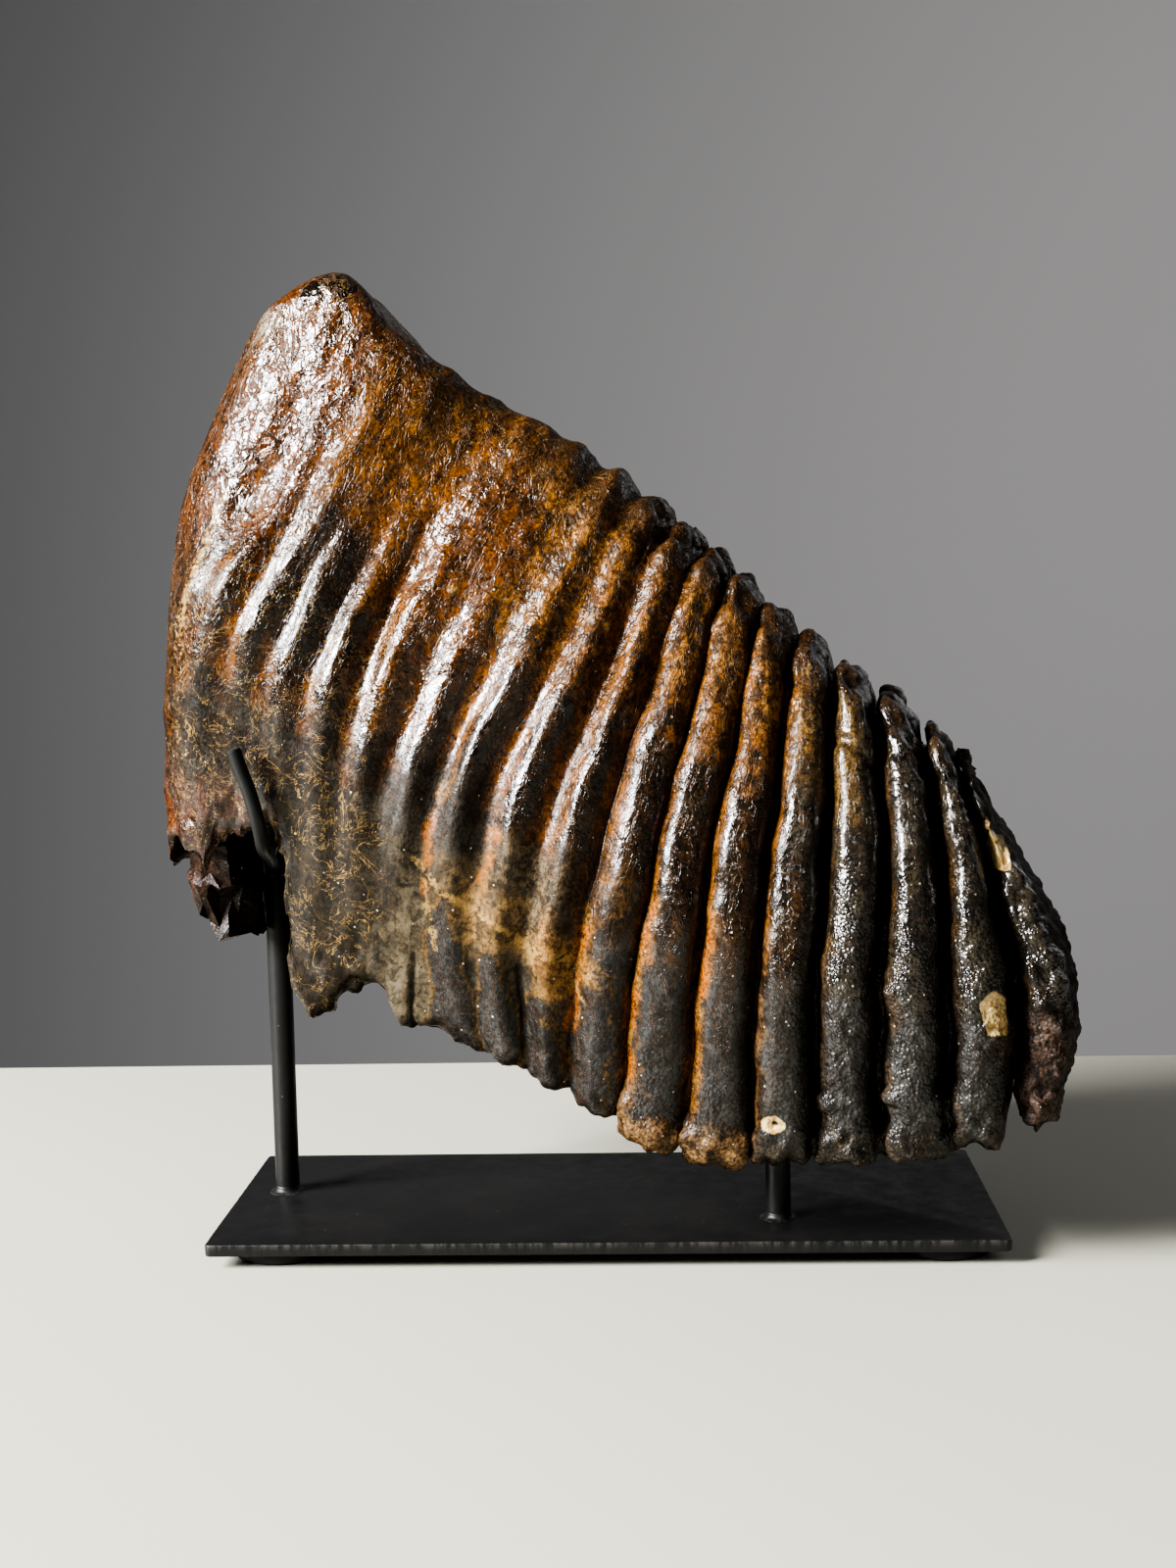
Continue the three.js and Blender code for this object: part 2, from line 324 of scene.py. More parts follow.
@dataclass(frozen=True)
class Tone:
    """A colour as three display values from 0 to 255."""

    red: int
    green: int
    blue: int

    def linear(self) -> tuple[float, float, float, float]:
        """Gives the colour as the shader wants it, linear and with full alpha."""
        shares = (channel / 255 for channel in (self.red, self.green, self.blue))
        return (*(s / 12.92 if s <= 0.04045 else ((s + 0.055) / 1.055) ** 2.4 for s in shares), 1.0)


Socket = bpy.types.NodeSocket
Input = Socket | float | Place | Tone


class NodeBoard:
    """Adds shader nodes to one material and wires them."""

    def __init__(self, name: str) -> None:
        """Makes a material with one principled shader.

        Args:
            name: Name of the material.
        """
        self.material = bpy.data.materials.new(name)
        self.material.use_nodes = True
        self.tree = self.material.node_tree
        self.tree.nodes.clear()
        output = self.add("OutputMaterial")
        self.shader = self.add("BsdfPrincipled")
        self.tree.links.new(self.shader.outputs["BSDF"], output.inputs["Surface"])
        self.coords = self.add("TexCoord").outputs["Object"]

    def add(self, kind: str, feeds: dict[str | int, Input] | None = None,
            **settings: str | bool) -> bpy.types.Node:
        """Adds a shader node.

        Args:
            kind: Kind of the node, without its prefix.
            feeds: What its named or numbered inputs take.
            settings: Its properties.

        Returns:
            The node.
        """
        node = self.tree.nodes.new(f"ShaderNode{kind}")
        for key, value in settings.items():
            setattr(node, key, value)
        for key, value in (feeds or {}).items():
            self.feed(node.inputs[key], value)
        return node

    def feed(self, socket: Socket, value: Input) -> None:
        """Links a socket to another one, or sets its number, vector or colour.

        Args:
            socket: Input that is fed.
            value: The other socket, or what the input is set to.
        """
        if isinstance(value, Socket):
            self.tree.links.new(value, socket)
        else:
            socket.default_value = value.linear() if isinstance(value, Tone) else value

    def attribute(self, name: str, kind: str = "Fac") -> Socket:
        """Reads a number, a vector or a colour that was stored per vertex."""
        return self.add("Attribute", attribute_name=name).outputs[kind]

    def stretched(self, coords: Socket, x: float, y: float, z: float) -> Socket:
        """Scales coordinates by one factor per axis."""
        return self.add("Mapping", {"Vector": coords, "Scale": (x, y, z)}, vector_type="POINT").outputs[0]

    def noise(self, size: float, detail: float = 3, rough: float = 0.55, twist: float = 0,
              coords: Socket | None = None) -> Socket:
        """Makes cloudy noise from 0 to 1.

        Args:
            size: Size of the clouds.
            detail: Octaves.
            rough: Strength of the fine octaves.
            twist: How far the noise bends itself.
            coords: Coordinates to use in place of the object's own.

        Returns:
            The noise's value.
        """
        return self.add("TexNoise", {
            "Vector": coords or self.coords, "Scale": 1 / (size * MM), "Detail": detail,
            "Roughness": rough, "Distortion": twist,
        }).outputs["Fac"]

    def cells(self, size: float) -> Socket:
        """Makes the distance to the nearest of scattered seats."""
        feeds = {"Vector": self.coords, "Scale": 1 / (size * MM)}
        return self.add("TexVoronoi", feeds, feature="F1").outputs["Distance"]

    def math(self, operation: str, *values: Input) -> Socket:
        """Does one sum on up to three values."""
        return self.add("Math", dict(enumerate(values)), operation=operation).outputs[0]

    def times(self, *factors: Input) -> Socket:
        """Multiplies two or more values."""
        return reduce(lambda first, second: self.math("MULTIPLY", first, second), factors)

    def plus(self, first: Input, second: Input) -> Socket:
        """Adds two values."""
        return self.math("ADD", first, second)

    def inverse(self, value: Input) -> Socket:
        """Gives 1 minus a value."""
        return self.math("SUBTRACT", 1.0, value)

    def off_middle(self, value: Socket) -> Socket:
        """Measures how far a noise lies from its middle level."""
        return self.math("ABSOLUTE", self.math("SUBTRACT", value, 0.5))

    def step(self, value: Input, low: float, high: float, bottom: float = 0.0, top: float = 1.0) -> Socket:
        """Rises smoothly from bottom at low to top at high, or falls where low is the larger one.

        Args:
            value: What is compared.
            low: Value where the step starts.
            high: Value where the step ends.
            bottom: Result before the step.
            top: Result after the step.

        Returns:
            The step.
        """
        if low > high:
            low, high, bottom, top = high, low, top, bottom
        feeds = {"Value": value, "From Min": low, "From Max": high, "To Min": bottom, "To Max": top}
        return self.add("MapRange", feeds, interpolation_type="SMOOTHSTEP").outputs["Result"]

    def blend(self, share: Input, first: Input, second: Input) -> Socket:
        """Mixes two colours: the first at share 0, the second at share 1."""
        feeds = {0: share, 6: first, 7: second}
        return self.add("Mix", feeds, data_type="RGBA", clamp_factor=True).outputs[2]

    def deepened(self, colour: Socket, depth: Tone) -> Socket:
        """Multiplies a colour by a tone."""
        feeds = {0: 1.0, 6: colour, 7: depth}
        return self.add("Mix", feeds, data_type="RGBA", blend_type="MULTIPLY").outputs[2]

    def bump(self, height: Socket, depth: float, below: Socket | None = None,
             strength: float = 1.0) -> Socket:
        """Tilts the normal by a height.

        Args:
            height: Height from 0 to 1.
            depth: What a height of 1 stands for.
            below: Normal of the coarser relief under this one.
            strength: Share of the tilt that is kept.

        Returns:
            The tilted normal.
        """
        feeds = {"Height": height, "Distance": depth * MM, "Strength": strength}
        if below is not None:
            feeds["Normal"] = below
        return self.add("Bump", feeds).outputs["Normal"]

    def finish(self, colour: Input, rough: Input, normal: Socket | None = None) -> Material:
        """Feeds the shader and gives the material.

        Args:
            colour: Base colour.
            rough: Roughness.
            normal: Normal with its relief.

        Returns:
            The finished material.
        """
        feeds = {"Base Color": colour, "Roughness": rough}
        if normal is not None:
            feeds["Normal"] = normal
        for name, value in feeds.items():
            self.feed(self.shader.inputs[name], value)
        return self.material


class Mark(str, Enum):
    """Numbers stored on the tooth's vertices, which the enamel finish reads."""

    DULL = "dull"
    FELT = "felt"
    GRANULAR = "granular"
    CREST = "crest"
    CHIP = "chip"
    VEIN = "vein"
    CRACKLE = "crackle"


class Flank(Enum):
    """Sides of a ridge, seen from the tooth's front face; zones laid on one flank paint the lamp-facing
    front flanks lighter and the rear flanks darker.
    """

    BOTH = 0
    FRONT = -1
    REAR = 1


@dataclass(frozen=True)
class Zone:
    """Part of the tooth's skin with a pair of tones of its own."""

    plates: Point
    rises: Point
    soft: float
    main: Tone
    second: Tone
    share: float = 1.0
    ridges: Point = (-1.0, 2.0)
    dull: float = 0.1
    flank: Flank = Flank.BOTH


@dataclass(frozen=True)
class FossilEnamel:
    """Varnished enamel, cement and dentine of the tooth."""

    main: Tone = Tone(56, 43, 27)
    second: Tone = Tone(28, 22, 15)
    zones: tuple[Zone, ...] = (
        Zone((-1, 7.6), (0.66, 1.2), 1.4, Tone(130, 76, 28), Tone(72, 44, 19)),
        Zone((-1, 2.6), (0.6, 1.2), 0.9, Tone(118, 66, 27), Tone(62, 37, 18), 0.9, dull=0.0),
        Zone((3.2, 5.0), (0.6, 0.9), 0.5, Tone(164, 106, 28), Tone(112, 70, 20), 0.9, dull=0.35),
        Zone((4.4, 9.2), (0.92, 1.2), 0.6, Tone(150, 100, 48), Tone(80, 54, 28), dull=0.45),
        Zone((-1, 4.4), (0.2, 0.58), 0.6, Tone(78, 52, 25), Tone(34, 24, 14)),
        Zone((0.8, 4.2), (0.36, 0.51), 0.5, Tone(56, 40, 22), Tone(28, 21, 13), 0.75, dull=0.15),
        Zone((-1, 1.3), (0.42, 0.66), 0.4, Tone(96, 62, 32), Tone(44, 31, 20), 0.7, dull=0.3),
        Zone((1.6, 9.0), (0.34, 0.74), 0.8, Tone(132, 80, 28), Tone(78, 48, 20), 0.85, (-1, 0.4), 0.2),
        # Ochre on the front flanks only, which face the lamp: the cement's colour and painted light.
        Zone((3.6, 10.4), (0.34, 0.8), 0.7, Tone(170, 106, 34), Tone(104, 64, 22), 0.75, (0.1, 0.6),
             0.2, Flank.FRONT),
        Zone((2.6, 10.2), (0.36, 0.6), 0.5, Tone(44, 33, 20), Tone(20, 15, 10), 0.85, (0.68, 2), 0.0),
        # Darker tones on the rear flanks only, which face away from the lamp: painted shade.
        Zone((3.6, 13.6), (0.3, 0.6), 0.5, Tone(74, 53, 31), Tone(28, 22, 15), 0.8, (0.2, 2), 0.1,
             Flank.REAR),
        Zone((6.9, 9.0), (0.7, 0.9), 0.4, Tone(198, 138, 68), Tone(84, 58, 30), 0.8, dull=0.3),
        Zone((8.4, 13.6), (0.7, 0.955), 0.5, Tone(162, 108, 52), Tone(52, 37, 22), 0.85, dull=0.45),
        Zone((10.0, 13.6), (0.8, 0.92), 0.4, Tone(190, 138, 76), Tone(84, 60, 34), 0.7, dull=0.5),
        Zone((5.0, 6.5), (0.5, 0.93), 0.4, Tone(132, 78, 28), Tone(72, 44, 18), 0.7, dull=0.0),
        Zone((8.6, 10.6), (0.24, 0.43), 0.4, Tone(100, 72, 40), Tone(40, 31, 20), 0.75, dull=0.55),
        Zone((8.6, 13.7), (-1, 0.98), 0.5, Tone(140, 84, 27), Tone(80, 48, 19), 0.9, (-1, 0.4), 0.35),
        # Ochre on the front flanks only, which face the lamp: the cement's colour and painted light.
        Zone((9.6, 13.7), (0.4, 0.9), 0.4, Tone(168, 108, 42), Tone(98, 64, 28), 0.8, (0.05, 0.7),
             0.3, Flank.FRONT),
        Zone((13.7, 19), (-1, 1.2), 0.4, Tone(44, 43, 40), Tone(76, 71, 60), dull=0.05),
        # Groove floors between the rear plates, darker than the plates: painted shade.
        Zone((13.7, 19), (-1, 1.2), 0.4, Tone(20, 17, 12), Tone(50, 38, 26), 1.0, (-1, 0.3), 0.3),
        # Tan on the front flanks only, which face the lamp: the flank's colour and painted light.
        Zone((13.7, 17.2), (0.1, 0.96), 0.4, Tone(122, 92, 54), Tone(56, 43, 28), 0.7, (0.12, 0.6), 0.2,
             Flank.FRONT),
        Zone((13.4, 14.5), (0.74, 0.93), 0.35, Tone(158, 124, 70), Tone(84, 66, 42), 0.7, dull=0.3),
        Zone((6.6, 19), (0.975, 1.2), 0.6, Tone(46, 36, 24), Tone(86, 62, 38), 0.8, dull=0.3),
        Zone((9.8, 17.3), (-1, 0.3), 0.6, Tone(74, 75, 75), Tone(47, 46, 45), 0.9, (0.5, 2), 0.35),
        # Tan on the low front flanks only, which face the lamp: the flank's colour and painted light.
        Zone((9.8, 13.6), (0.04, 0.42), 0.4, Tone(140, 102, 60), Tone(62, 47, 32), 0.8, (-1, 0.72), 0.4,
             Flank.FRONT),
        # Tan flecks on the low front flanks only, which face the lamp: the flank's colour and painted
        # light.
        Zone((13.6, 17.1), (0.02, 0.4), 0.3, Tone(96, 78, 56), Tone(46, 38, 31), 0.6, (0.3, 0.7), 0.5,
             Flank.FRONT),
        Zone((9.8, 17.3), (-1, 0.035), 0.4, Tone(92, 80, 62), Tone(46, 41, 35), 0.7, dull=0.5),
        Zone((17.6, 19), (-1, 1.2), 0.15, Tone(52, 47, 42), Tone(26, 22, 19), 0.9, dull=0.9),
        Zone((17.0, 19), (-1, 0.3), 0.5, Tone(116, 93, 82), Tone(60, 50, 46), 0.9, dull=0.6),
        Zone((17.0, 19), (0.97, 1.2), 0.3, Tone(44, 40, 34), Tone(24, 21, 17), dull=0.8),
        Zone((1.4, 9.2), (-1, 0.38), 0.8, Tone(75, 72, 66), Tone(45, 43, 39), dull=0.7),
        Zone((4.8, 7.0), (0.22, 0.34), 0.5, Tone(104, 97, 86), Tone(62, 57, 50), 0.6, dull=0.7),
        Zone((5.2, 9.8), (0.12, 0.28), 0.7, Tone(96, 86, 66), Tone(48, 44, 35), 0.7, dull=0.8),
        Zone((5.3, 6.3), (0.2, 0.32), 0.5, Tone(56, 50, 42), Tone(34, 31, 26), 0.8, dull=0.5),
        Zone((6.3, 7.3), (0.07, 0.19), 0.5, Tone(138, 125, 102), Tone(84, 76, 62), 0.7, dull=0.7),
        Zone((8.3, 9.3), (0.24, 0.4), 0.4, Tone(134, 118, 92), Tone(78, 68, 54), 0.75, dull=0.5),
        Zone((7.3, 8.6), (0.22, 0.29), 0.4, Tone(150, 124, 88), Tone(88, 74, 54), 0.6, dull=0.7),
        Zone((7.9, 10.3), (0.235, 0.275), 0.18, Tone(190, 150, 92), Tone(96, 76, 48), 0.6, dull=0.7),
        Zone((9.3, 10.1), (0.21, 0.29), 0.3, Tone(206, 158, 96), Tone(140, 104, 60), 0.8, dull=0.6),
        Zone((2.4, 5.2), (-1, 0.32), 0.5, Tone(58, 46, 29), Tone(22, 19, 14), 0.8, dull=0.25),
        Zone((-1, 2.6), (-1, 0.24), 0.4, Tone(52, 36, 27), Tone(100, 68, 56), dull=0.2),
        Zone((-1, 0.6), (0.05, 0.3), 0.2, Tone(170, 90, 38), Tone(92, 50, 30), 0.9),
        Zone((-1, 0.45), (-1, 0.97), 0.3, Tone(106, 64, 32), Tone(50, 34, 21), 0.75, dull=0.2),
        # Amber rim along the front edge: painted light, standing in for light that shines through the thin
        # edge.
        Zone((-1, 0.22), (-1, 0.9), 0.12, Tone(112, 68, 33), Tone(54, 36, 21), 0.9),
        Zone((11.1, 12.95), (-1, 0.052), 0.15, Tone(158, 124, 82), Tone(100, 76, 50), 0.9, dull=0.5),
        Zone((3.1, 4.1), (0.54, 0.7), 0.5, Tone(28, 22, 16), Tone(46, 34, 20), 0.9, dull=0.2),
        Zone((1.55, 2.15), (0.972, 1.2), 0.15, Tone(12, 11, 10), Tone(26, 22, 18), dull=0.0),
        Zone((0.5, 0.95), (0.925, 0.965), 0.15, Tone(176, 168, 156), Tone(120, 104, 88), 0.85, dull=0.3),
    )
    tongue: Tone = Tone(38, 39, 41)
    tongue_pale: Tone = Tone(74, 74, 73)
    tongue_edge: Tone = Tone(156, 118, 62)
    rust_line: Tone = Tone(198, 118, 42)
    loop: Tone = Tone(176, 156, 124)
    gold: Tone = Tone(144, 114, 64)
    cream: Tone = Tone(184, 160, 110)
    speck: Tone = Tone(204, 190, 162)
    chip_ochre: Tone = Tone(146, 116, 72)
    pale_line: Tone = Tone(180, 148, 92)
    olive: Tone = Tone(30, 26, 17)
    # painted shade and dirt: the darker colour laid in the wrinkle creases
    crease: Tone = Tone(70, 43, 20)
    felt_pale: Tone = Tone(92, 88, 78)
    shadow: Tone = Tone(18, 13, 9)
    depth: Tone = Tone(190, 186, 180)
    varnish_ior: float = 1.5
    dull_roughness: float = 0.85
    dullness: float = 0.15
    mottle_size: float = 5.5
    blotch_size: float = 2.4
    grain_size: float = 0.95
    fibre_size: float = 1.3
    streak_size: float = 3.2
    hair_size: float = 8.0
    speck_gap: float = 3.4

    def material(self) -> Material:
        """Builds the material.

        Returns:
            The enamel material, which reads the tooth's tones and marks.
        """
        board = NodeBoard("varnished_fossil_enamel")
        marks = {mark: board.attribute(mark.value) for mark in Mark}
        ribs = board.attribute("rib_place", "Vector")
        gloss = self._gloss(board, marks, ribs)
        # Painted shade and dirt: the colour darkens towards the crease tone in the creases of the wrinkles.
        crease_dirt_and_shade = board.times(board.inverse(gloss), 0.7)
        colour = board.blend(crease_dirt_and_shade, self._colour(board, marks, ribs), self.crease)
        rough = self._roughness(board, marks, gloss)
        normal = self._relief(board, marks, gloss)
        board.shader.inputs["IOR"].default_value = self.varnish_ior
        shine = board.times(board.step(marks[Mark.DULL], 0.08, 0.55, 0.5, 0.17),
                            board.step(gloss, 0.0, 1.0, 0.2, 1.0))
        board.feed(board.shader.inputs["Specular IOR Level"], shine)
        return board.finish(colour, rough, normal)

    def _colour(self, board: NodeBoard, marks: dict[Mark, Socket], ribs: Socket) -> Socket:
        """Breaks the stored tones up into mottling, fibres, specks and veins.

        Args:
            board: Takes the nodes.
            marks: The stored marks.
            ribs: Place along, up and through the ribs.

        Returns:
            The base colour.
        """
        felted = marks[Mark.FELT]
        mottle = board.noise(self.mottle_size, 6, 0.68, 0.9)
        blotch = board.noise(self.blotch_size, 4, 0.62, 0.7)
        grain = board.noise(self.grain_size, 3, 0.62, 0.3)
        fibres = board.noise(self.fibre_size, 4, 0.6, 2.0, board.stretched(ribs, 1, 0.5, 1))
        streaks = board.noise(self.streak_size, 4, 0.62, 0.5, board.stretched(ribs, 1, 0.15, 1))
        share = board.plus(board.times(mottle, 0.6), board.times(streaks, 0.4))
        main, second = board.attribute("tone_main", "Color"), board.attribute("tone_second", "Color")
        ground = board.blend(board.step(share, 0.43, 0.57), main, second)
        ground = board.blend(board.times(board.step(blotch, 0.53, 0.62), 0.7), ground, self.olive)
        pitted = board.times(board.step(grain, 0.55, 0.42), 0.6, board.inverse(board.times(felted, 0.65)))
        ground = board.blend(pitted, ground, self.shadow)
        golden = board.times(marks[Mark.DULL], board.step(grain, 0.58, 0.66),
                             board.step(blotch, 0.44, 0.58), 0.25)
        ground = board.blend(golden, ground, self.gold)
        felt = board.times(felted, board.step(fibres, 0.48, 0.66), board.step(mottle, 0.6, 0.44), 0.34)
        ground = board.blend(felt, ground, self.felt_pale)
        spots = board.times(felted, board.step(streaks, 0.53, 0.6), board.step(grain, 0.46, 0.6), 0.16)
        ground = board.blend(spots, ground, self.gold)
        vein_edge = board.plus(marks[Mark.VEIN], board.times(board.math("SUBTRACT", blotch, 0.5), 6.0))
        vein = board.times(board.step(vein_edge, 1.1, 0.3), board.step(grain, 0.34, 0.52), 0.9)
        ground = board.blend(vein, ground, self.pale_line)
        hairs = board.off_middle(board.noise(self.hair_size, 4, 0.62, 1.4))
        hair_share = board.times(board.step(hairs, 0.01, 0.003), marks[Mark.CREST], 0.75)
        ground = board.blend(hair_share, ground, self.pale_line)
        ground = board.deepened(ground, self.depth)
        seats = board.step(board.cells(self.speck_gap), 0.1, 0.06)
        specks = board.times(seats, board.step(mottle, 0.49, 0.57))
        ground = board.blend(board.times(specks, 0.7), ground, self.speck)
        chip_tone = board.blend(board.step(blotch, 0.42, 0.62), self.cream, self.chip_ochre)
        return board.blend(board.step(marks[Mark.CHIP], 0.25, -0.1), ground, chip_tone)

    def _gloss(self, board: NodeBoard, marks: dict[Mark, Socket], ribs: Socket) -> Socket:
        """Share of clean varnish: 1 on the open skin, lower in its creases, where the material lays dirt
        and painted shade.

        Args:
            board: Takes the nodes.
            marks: The stored marks.
            ribs: Place along, up and through the ribs.

        Returns:
            The share.
        """
        nets = []
        for size, squeeze, reach in ((5.0, 0.45, 0.034), (2.6, 0.6, 0.03)):
            folds = board.noise(size, 3, 0.58, 0.9, board.stretched(ribs, 1, squeeze, 1))
            nets.append(board.step(board.off_middle(folds), 0.004, reach))
        crease_dirt_and_shade = board.inverse(board.math("MINIMUM", *nets))
        return board.inverse(board.times(crease_dirt_and_shade, marks[Mark.CRACKLE], 0.9))

    def _roughness(self, board: NodeBoard, marks: dict[Mark, Socket], gloss: Socket) -> Socket:
        """Glossy varnish, dull cement, dull root ends and dirty creases.

        Args:
            board: Takes the nodes.
            marks: The stored marks.
            gloss: Share of clean varnish.

        Returns:
            The roughness.
        """
        varnish = board.step(board.noise(7, 5, 0.65), 0.3, 0.72, 0.045, 0.13)
        dull = board.times(marks[Mark.DULL], board.step(board.noise(3.5, 4, 0.6), 0.25, 0.62, 0.6))
        matte = board.math("MAXIMUM", dull, board.times(board.inverse(gloss), 0.5))
        feeds = {0: matte, 2: varnish, 3: self.dull_roughness}
        return board.add("Mix", feeds, data_type="FLOAT", clamp_factor=True).outputs[0]

    def _relief(self, board: NodeBoard, marks: dict[Mark, Socket], gloss: Socket) -> Socket:
        """Wrinkles, creases and grain too fine for the mesh.

        Args:
            board: Takes the nodes.
            marks: The stored marks.
            gloss: Share of clean varnish.

        Returns:
            The tilted normal.
        """
        wrinkles = board.noise(3.4, 3, 0.6, 1.0)
        normal = board.bump(board.times(wrinkles, marks[Mark.CRACKLE]), 0.65)
        normal = board.bump(gloss, 0.16, normal)
        granules = board.step(board.cells(0.95), 0.1, 0.8, 1.0, 0.0)
        rough_share = board.math("MAXIMUM", marks[Mark.GRANULAR], board.times(marks[Mark.DULL], 0.25))
        normal = board.bump(board.times(granules, rough_share), 0.2, normal)
        felt = board.noise(0.8, 3, 0.65)
        return board.bump(felt, 0.05, normal, 0.8)


@dataclass(frozen=True)
class BlackSteel:
    """Blackened and waxed mild steel."""

    black: Tone = Tone(18, 18, 18)
    brown_black: Tone = Tone(23, 22, 21)
    bare: Tone = Tone(54, 52, 49)
    dust: Tone = Tone(110, 106, 100)
    wax_ior: float = 1.36

    def material(self) -> Material:
        """Builds the material, which shows bare metal where the vertex number `bare` is high.

        Returns:
            The steel material.
        """
        board = NodeBoard("blackened_steel")
        cloud = board.noise(16, 4, 0.55)
        fine = board.noise(0.9, 3, 0.6)
        ground = board.blend(board.step(cloud, 0.3, 0.7), self.black, self.brown_black)
        strokes = board.noise(1.6, 4, 0.7, 0, board.stretched(board.coords, 1, 1, 0.22))
        bare = board.times(board.attribute("bare"), board.step(strokes, 0.42, 0.62))
        ground = board.blend(bare, ground, self.bare)
        specks = board.times(board.step(board.cells(3.1), 0.07, 0.04), board.step(cloud, 0.5, 0.62))
        ground = board.blend(board.times(specks, 0.6), ground, self.dust)
        rough = board.step(board.noise(6, 5, 0.6), 0.25, 0.75, 0.36, 0.52)
        board.shader.inputs["IOR"].default_value = self.wax_ior
        normal = board.bump(board.noise(2.4, 3), 0.05, None, 0.5)
        normal = board.bump(fine, 0.02, normal, 0.6)
        return board.finish(ground, rough, normal)


@dataclass(frozen=True)
class FootRubber:
    """Dull black rubber of the stick-on feet."""

    black: Tone = Tone(12, 12, 13)
    worn: Tone = Tone(30, 30, 31)

    def material(self) -> Material:
        """Builds the material.

        Returns:
            The rubber material.
        """
        board = NodeBoard("foot_rubber")
        cloud = board.noise(5, 4)
        ground = board.blend(board.step(cloud, 0.4, 0.75), self.black, self.worn)
        normal = board.bump(board.noise(0.5, 2), 0.04, None, 0.8)
        return board.finish(ground, board.step(cloud, 0.2, 0.8, 0.6, 0.85), normal)


@dataclass(frozen=True)
class StudioPaint:
    """Plain pale or grey paint of the floor and the backdrop."""

    name: str
    tone: Tone
    rough: float

    def material(self) -> Material:
        """Builds the material."""
        board = NodeBoard(self.name)
        return board.finish(self.tone, self.rough)


# ---- tooth: the guide surface ----


@dataclass(frozen=True)
class GuideLine:
    """Line of one plate from the root end to the chewing surface, at equal steps of rise."""

    plate: float
    points: Pairs


@dataclass(frozen=True)
class GuideSurface:
    """Middle plane of the tooth, as [x, z] over the plate number and the rise from root to crest."""

    plate_count: int = 18
    lines: tuple[GuideLine, ...] = (
        GuideLine(0, ((-114, 79), (-113.5, 112), (-111, 147), (-107.5, 184), (-87, 229))),
        GuideLine(1.5, ((-100, 64), (-94, 114), (-88, 154), (-75, 193), (-60, 240.5))),
        GuideLine(3, ((-86, 56), (-81, 106), (-74, 147), (-60, 185), (-43.5, 225))),
        GuideLine(4.5, ((-71, 51), (-67, 97), (-60, 139), (-45, 177), (-26, 211))),
        GuideLine(7.5, ((-33, 45), (-33, 86), (-25, 122), (-8, 156), (9, 191))),
        GuideLine(10.5, ((0, 28), (6, 64), (13, 101), (23, 136), (32, 170))),
        GuideLine(13.5, ((48, 19), (49.5, 53), (52, 85), (54.5, 116), (56, 148))),
        GuideLine(16.5, ((97, 22), (95.5, 51), (95, 76), (92, 100), (85.5, 125))),
        GuideLine(18, ((114, 27), (119.5, 50), (117, 71), (105.5, 94), (94, 115))),
    )
    front_hem: Pairs = (
        (-118, 92), (-113.5, 91), (-112, 90), (-110, 96), (-108, 101), (-104.5, 100), (-100, 96),
        (-96, 92), (-92, 100), (-76.5, 104), (-74, 90), (-73.5, 62), (-71, 54), (-66, 56), (-60, 61),
        (-52, 63), (-46, 53), (-39, 51),
        (-16, 41), (-2, 34), (10, 28.5), (13, 22), (22, 18.5), (38, 18), (50, 21.5), (66, 20.5),
        (92, 24), (104, 27), (108, 29.5), (112, 31), (120, 34),
    )
    back_hem: Pairs = (
        (-116, 81), (-113.5, 81), (-110, 77), (-105, 68), (-102, 69), (-99.5, 99), (-85, 100),
        (-82, 60), (-74, 54), (-64, 60), (-52, 58), (-39, 50), (-16, 41), (0, 33), (22, 22),
        (60, 20), (92, 24), (108, 29.5), (112, 31), (120, 34),
    )

    def point(self, plate: Array, rise: Array) -> tuple[Array, Array]:
        """Finds places on the middle plane.

        Args:
            plate: Plate numbers, of any shape.
            rise: Rises from 0 to 1, of the same shape.

        Returns:
            The x and z of each place.
        """
        shape = plate.shape
        flat_plate, flat_rise = plate.ravel(), rise.ravel()
        steps = np.linspace(0, 1, len(self.lines[0].points))
        numbers = np.array([line.plate for line in self.lines], dtype=float)
        axes = []
        for axis in (0, 1):
            rows = [through_knots(steps, np.array([p[axis] for p in line.points], dtype=float), flat_rise)
                    for line in self.lines]
            axes.append(through_knots(numbers, np.array(rows), flat_plate).reshape(shape))
        return axes[0], axes[1]

    def length(self, plate: Array) -> Array:
        """Measures each plate's guide line from root to crest."""
        x, z = self.point(*np.meshgrid(plate, np.linspace(0, 1, 9), indexing="ij"))
        return np.hypot(np.diff(x, axis=1), np.diff(z, axis=1)).sum(axis=1)

    def hem_rise(self, plate: Array, hem: Pairs) -> Array:
        """Finds where each plate's guide line meets a lower edge.

        Args:
            plate: Plate numbers.
            hem: Lower edge, as x and z.

        Returns:
            One rise per plate.
        """
        low, high = np.zeros_like(plate), np.full_like(plate, 0.6)
        for _ in range(18):
            middle = (low + high) / 2
            x, z = self.point(plate, middle)
            below = z < follow(hem, x)
            low, high = np.where(below, middle, low), np.where(below, high, middle)
        return (low + high) / 2


